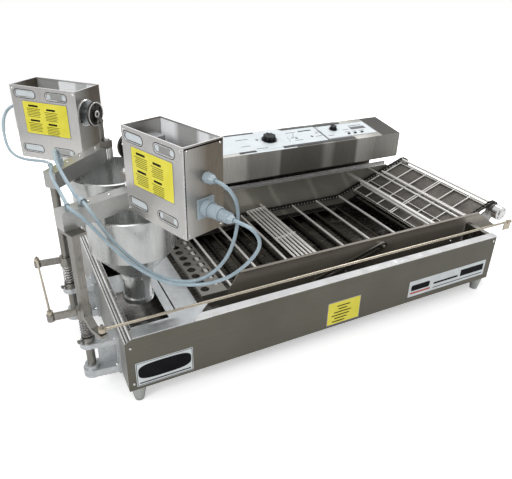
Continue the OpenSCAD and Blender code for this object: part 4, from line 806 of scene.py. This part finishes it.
screws("plate_screws", WORLD, "machine", [(14, 0, 150), (14, 0, 24), (1386, 0, 164)], TO_FRONT, 4)
screws("side_plate_bolts", WORLD, "machine",
       [(695, PLATE_Y, 100), (818, PLATE_Y, 100), (1325.6, PLATE_Y, 107)], TO_FRONT, 5)
screws("bracket_bolts", WORLD, "machine",
       [(-9, y + s, z) for y in (FRONT_POST_Y, REAR_POST_Y) for s in (-24, 24) for z in (34, 124)],
       TO_LEFT, 6)

# Rims of the cranks, rings round the motor noses, and two rows of bolts low on each hopper, with
# the distance from its axis, the height, and the bolt's (height, radius) profile
BOLTS, LOW_R, LOW_Z, HIGH_R, HIGH_Z = 12, 43.4, 164, 46.6, 238
LOW_BOLT = [(0, 1.9), (1.6, 1.9), (2.1, 1.3)]
HIGH_BOLT = [(0, 2.3), (0.8, 2.3), (1.1, 1.5)]
for name, m in HEADS:
    rim = Build().tube((HEAD_U, 23.9, CRANK_Z), Y, 33.5, 37, 0.5, 48)
    rim.tube((HEAD_U, 24, CRANK_Z), Y, 6.5, 12, 4.4)
    rim.make(name + "_crank_rim", m, "rod", name + "_drive", "bright_steel")
    nose = Build().tube((HEAD_U, BOX_V1, CRANK_Z), Y, 36.5, 41, 3.5, 48)
    nose.make(name + "_nose_ring", m, "polished", name + "_head", "polished_steel")
    bolts = Build()
    for i in range(BOLTS):
        a = 2 * math.pi * (i + 0.5) / BOLTS
        c, d = math.cos(a), math.sin(a)
        bolts.lathe((HEAD_U + LOW_R * c, HOPPER_V + LOW_R * d, LOW_Z), Z, LOW_BOLT, 6)
        bolts.lathe((HEAD_U + HIGH_R * c, HOPPER_V + HIGH_R * d, HIGH_Z), (c, d, 0), HIGH_BOLT, 10)
    bolts.make(name + "_hopper_bolts", m, "rail", name + "_head", "bright_steel")

# Ribs of the plug, on its wide and its narrow part, and of the glands
PLUG_U, PLUG_Z, GLAND_U, GLAND_Z = 222, 550, 228, 626
ribs = Build()
for i in range(6):
    ribs.tube((PLUG_U, BOX_V0 - 26 - 5 * i, PLUG_Z), TO_FRONT, 16.6, 17.4, 2.2, 28)
for i in range(4):
    ribs.tube((PLUG_U, BOX_V0 - 58 - 6 * i, PLUG_Z), TO_FRONT, 13.4, 14.4, 2.4, 28)
ribs.make("plug_ribs", FRONT, "grey", "front_head", "grey_plastic")
for name, m in HEADS:
    ribs = Build()
    for i in range(4):
        ribs.tube((GLAND_U, BOX_V0 - 7 - 3 * i, GLAND_Z), TO_FRONT, 12.6, 13.5, 1.4, 24)
    ribs.make(name + "_gland_ribs", m, "grey", name + "_head", "grey_plastic")

# Pin heads of the far chain, at the pitch of its frying run and incline
FAR_CHAIN_Y, PINS, PIN_HEAD = 702.1, 74, [(0, 2.6), (0.9, 2.4), (1.3, 1.2)]
pins = Build()
for i in range(PINS):
    x, z = IDLER_X + i * CHAIN_PITCH, RUN_Z
    if x >= KNEE_X:
        s = x - KNEE_X
        x, z = KNEE_X + s * math.cos(INCLINE), RUN_Z + s * math.sin(INCLINE)
    pins.lathe((x, FAR_CHAIN_Y, z), TO_FRONT, PIN_HEAD, 10)
pins.make("chain_pin_heads", WORLD, "rail", "machine", "dark_iron")

# Painted highlights: bright strips along the folded top of the rear plate
RAIL_X0, RAIL_X1 = 404, 1447
rails = Build().slab(rounded(RAIL_X0, 722.5, RAIL_X1, 735.5, 0.5), (0, 0, 208), X, Y, 0.3)
rails.slab(rounded(RAIL_X0, 209, RAIL_X1, 222.5, 0.5), (0, 736, 0), X, Z, 0.3)
rails.slab(rounded(RAIL_X0, 736.2, RAIL_X1, 738.8, 0.5), (0, 0, 223), X, Y, 0.3)
rails.make("rear_plate_highlights", WORLD, "rail", "machine", "bright_steel", False)

# Folds along the sloping edge of the left wall, with painted reflections bright and dark in turn:
# distances up the slope
EDGE_FOOT, EDGE_SLOPE, EDGE_Y0, EDGE_Y1 = (0, 0, 165), (22, 0, 13), 3, 797
for tone, folds in (("rail", ((0.8, 4.1), (8.7, 11.2), (18.4, 22.5))),
                    ("iron", ((5.6, 7.9), (14.8, 16.9)))):
    b = Build()
    for s0, s1 in folds:
        b.slab(rounded(s0, EDGE_Y0, s1, EDGE_Y1, 0.4), EDGE_FOOT, EDGE_SLOPE, Y, 0.5)
    b.make("left_wall_fold_shine_" + tone, WORLD, tone, "machine", "sheet_steel", False)

# Control panel, in its own frame: x along the machine, y up the slope, z off its sheet. The knobs
# and lamps stand on the top of the sheet, PANEL_T off its underside.
PANEL_T = 1.2
THERMOSTAT, SPEED = (788, 94, PANEL_T), (1114, 112, PANEL_T)


def on_panel(build, name, mat, slot="panel_film", smooth=False):
    build.make(name, PANEL, mat, "machine", slot, smooth)


on_panel(Build().slab(rounded(640, 1, 872, 181, 1), ORIGIN, X, Y, 0.15), "panel_field", "film")
strips = Build()
for outline in ((619, 164, 750, 175), (620, 10, 693, 22), (878, 159, 1179, 171),
                (815, 9, 1165, 25)):
    strips.slab(rounded(*outline, 1), ORIGIN, X, Y, 1.45)
on_panel(strips, "panel_strips", "strip", "sheet_steel")
on_panel(Build().slab(rounded(1303, 1, 1399, 181, 1), ORIGIN, X, Y, 0.2),
         "panel_end", "case_dark", "sheet_steel")
gap = Build().slab(rounded(1037, 29, 1041, 112, 0.5), ORIGIN, X, Y, 1.3)
gap.border((1044, 34, 1298, 152), 2, 1.2, 1.5, (0, 0, PANEL_T), X, Y, 0.15)
on_panel(gap, "module_gap", "ink")
on_panel(Build().slab(rounded(1196.5, 87.5, 1274.5, 110.5, 1), (0, 0, 0.9), X, Y, 0.4, 0.2),
         "module_display", "display")

LENS = [(0, 3.9), (1.4, 3.8), (2.4, 2.8), (2.9, 1.2), (3.0, 0.3)]
for name, x, y in (("lamp_left", 909, 77), ("lamp_right", 983, 75), ("lamp_small", 738, 106)):
    on_panel(Build().tube((x, y, PANEL_T), Z, 4.0, 6.0, 1.6, 24), name + "_bezel", "black",
             "polished_steel", True)
    on_panel(Build().lathe((x, y, PANEL_T), Z, LENS, 20), name, "lamp_clear", smooth=True)

ticks = Build()
for i in range(13):
    a = math.radians(240 - 25 * i)
    ex = Vector((math.cos(a), math.sin(a), 0))
    ey = Vector((-math.sin(a), math.cos(a), 0))
    far = 41 if i % 3 == 0 else 38
    ticks.slab([(34, -0.6), (far, -0.6), (far, 0.6), (34, 0.6)], THERMOSTAT, ex, ey, 0.2)
    far -= 16
    ticks.slab([(20, -0.4), (far, -0.4), (far, 0.4), (20, 0.4)], SPEED, ex, ey, 0.2)
on_panel(ticks, "dial_ticks", "ink")

# Short bars in place of the panel's words, and the slanting mark between its fields
lines = Build()
for outline in (
        (700, 30, 752, 33), (648, 62, 690, 65), (648, 120, 704, 123), (884, 128, 930, 131),
        (946, 128, 1010, 136), (892, 56, 930, 59), (1000, 68, 1030, 71), (1058, 58, 1088, 61),
        (1148, 70, 1176, 73), (1186, 70, 1210, 73), (1222, 70, 1250, 73), (1200, 120, 1270, 124),
        (1150, 92, 1184, 95)):
    lines.slab(rounded(*outline, 1), (0, 0, PANEL_T), X, Y, 0.2)
lines.slab([(873.6, 93), (872.2, 93), (865.4, 52), (866.8, 52)], (0, 0, PANEL_T), X, Y, 0.2)
on_panel(lines, "panel_lines", "ink")

# Stage: floor, world and lamps, in metres. The camera sees a white world. Metal reflects bright
# screens and dark gaps round the studio, as (share of a turn, tone) stops between two dark ends,
# with the white backdrop behind the machine.
FLOOR_R, FLOOR_SIDES = 2.6, 64
STUDIO = [
    (0.04, 0.85), (0.09, 0.15), (0.16, 0.12), (0.19, 0.9), (0.24, 0.95), (0.27, 0.2),
    (0.36, 0.12), (0.40, 0.75), (0.43, 0.8), (0.46, 0.12), (0.56, 0.2), (0.60, 0.9), (0.80, 1.0),
    (0.86, 0.9), (0.90, 0.2), (0.95, 0.12)]
STUDIO_END = (0.10, 0.10, 0.10)
BLUISH = 1.02


def floor_material():
    """Pale floor, which the camera sees go white away from the machine."""
    t, b = tree("floor")
    patches = spread(t, noise(t, 2, 2, 0.5), 0, 1)
    t.links.new(mix(t, patches, (0.86, 0.86, 0.86), (0.90, 0.90, 0.90)), b.inputs["Base Color"])
    b.inputs["Roughness"].default_value = 0.9
    b.inputs["Specular IOR Level"].default_value = 0.1
    co = node(t, "ShaderNodeTexCoord")
    far = node(t, "ShaderNodeVectorMath", operation="LENGTH")
    t.links.new(co.outputs["Object"], far.inputs[0])
    seen = node(t, "ShaderNodeLightPath")
    glow = node(t, "ShaderNodeMath", operation="MULTIPLY")
    t.links.new(spread(t, far.outputs["Value"], 0.42, 1.0, 0.9, 1.7), glow.inputs[0])
    t.links.new(seen.outputs["Is Camera Ray"], glow.inputs[1])
    b.inputs["Emission Color"].default_value = (1, 1, 1, 1)
    t.links.new(glow.outputs[0], b.inputs["Emission Strength"])


def add_floor():
    floor_material()
    me = bpy.data.meshes.new("floor")
    turns = [2 * math.pi * i / FLOOR_SIDES for i in range(FLOOR_SIDES)]
    me.from_pydata([(FLOOR_R * math.cos(w), FLOOR_R * math.sin(w), 0) for w in turns], [],
                   [tuple(range(FLOOR_SIDES))])
    o = bpy.data.objects.new("floor", me)
    scene.collection.objects.link(o)
    me.materials.append(M["floor"])


def add_world():
    w = bpy.data.worlds.new("studio")
    scene.world = w
    w.use_nodes = True
    t = w.node_tree
    co = node(t, "ShaderNodeTexCoord")
    sep = node(t, "ShaderNodeSeparateXYZ")
    t.links.new(co.outputs["Generated"], sep.inputs["Vector"])
    turn = node(t, "ShaderNodeMath", operation="ARCTAN2")
    t.links.new(sep.outputs["Y"], turn.inputs[0])
    t.links.new(sep.outputs["X"], turn.inputs[1])
    stops = [(at, (v, v, v * BLUISH)) for at, v in STUDIO]
    round_about = ramp(t, spread(t, turn.outputs[0], 0, 1, -math.pi, math.pi),
                       [(0.0, STUDIO_END), *stops, (1.0, STUDIO_END)])
    high = spread(t, sep.outputs["Z"], 0, 1, 0.25, 0.75)
    glossy = mix(t, high, round_about, (0.85, 0.86, 0.88))
    low = spread(t, sep.outputs["Z"], 0, 1, -0.1, 0.7)
    soft = mix(t, low, (0.05, 0.05, 0.05), (0.75, 0.75, 0.76))
    ray = node(t, "ShaderNodeLightPath")
    lit = mix(t, ray.outputs["Is Glossy Ray"], soft, glossy)
    seen = mix(t, ray.outputs["Is Camera Ray"], lit, (1.0, 1.0, 1.0))
    t.links.new(seen, t.nodes["Background"].inputs["Color"])
    t.nodes["Background"].inputs["Strength"].default_value = 1.0


def lamp(name, at, aim, size, power):
    light = bpy.data.lights.new(name, "AREA")
    light.shape = "RECTANGLE"
    light.size = light.size_y = size
    light.energy = power
    o = bpy.data.objects.new(name, light)
    scene.collection.objects.link(o)
    o.location = at
    o.rotation_euler = (Vector(aim) - Vector(at)).to_track_quat("-Z", "Y").to_euler()


add_floor()
add_world()
lamp("key", (2.6, 1.4, 3.4), (0, 0, 0.2), 1.4, 46)
lamp("fill", (-3.2, -1.6, 2.2), (0, 0, 0.3), 1.2, 50)
lamp("top", (-0.4, 0.2, 3.6), (0, 0, 0), 1.8, 30)

scene.view_settings.view_transform = "Standard"
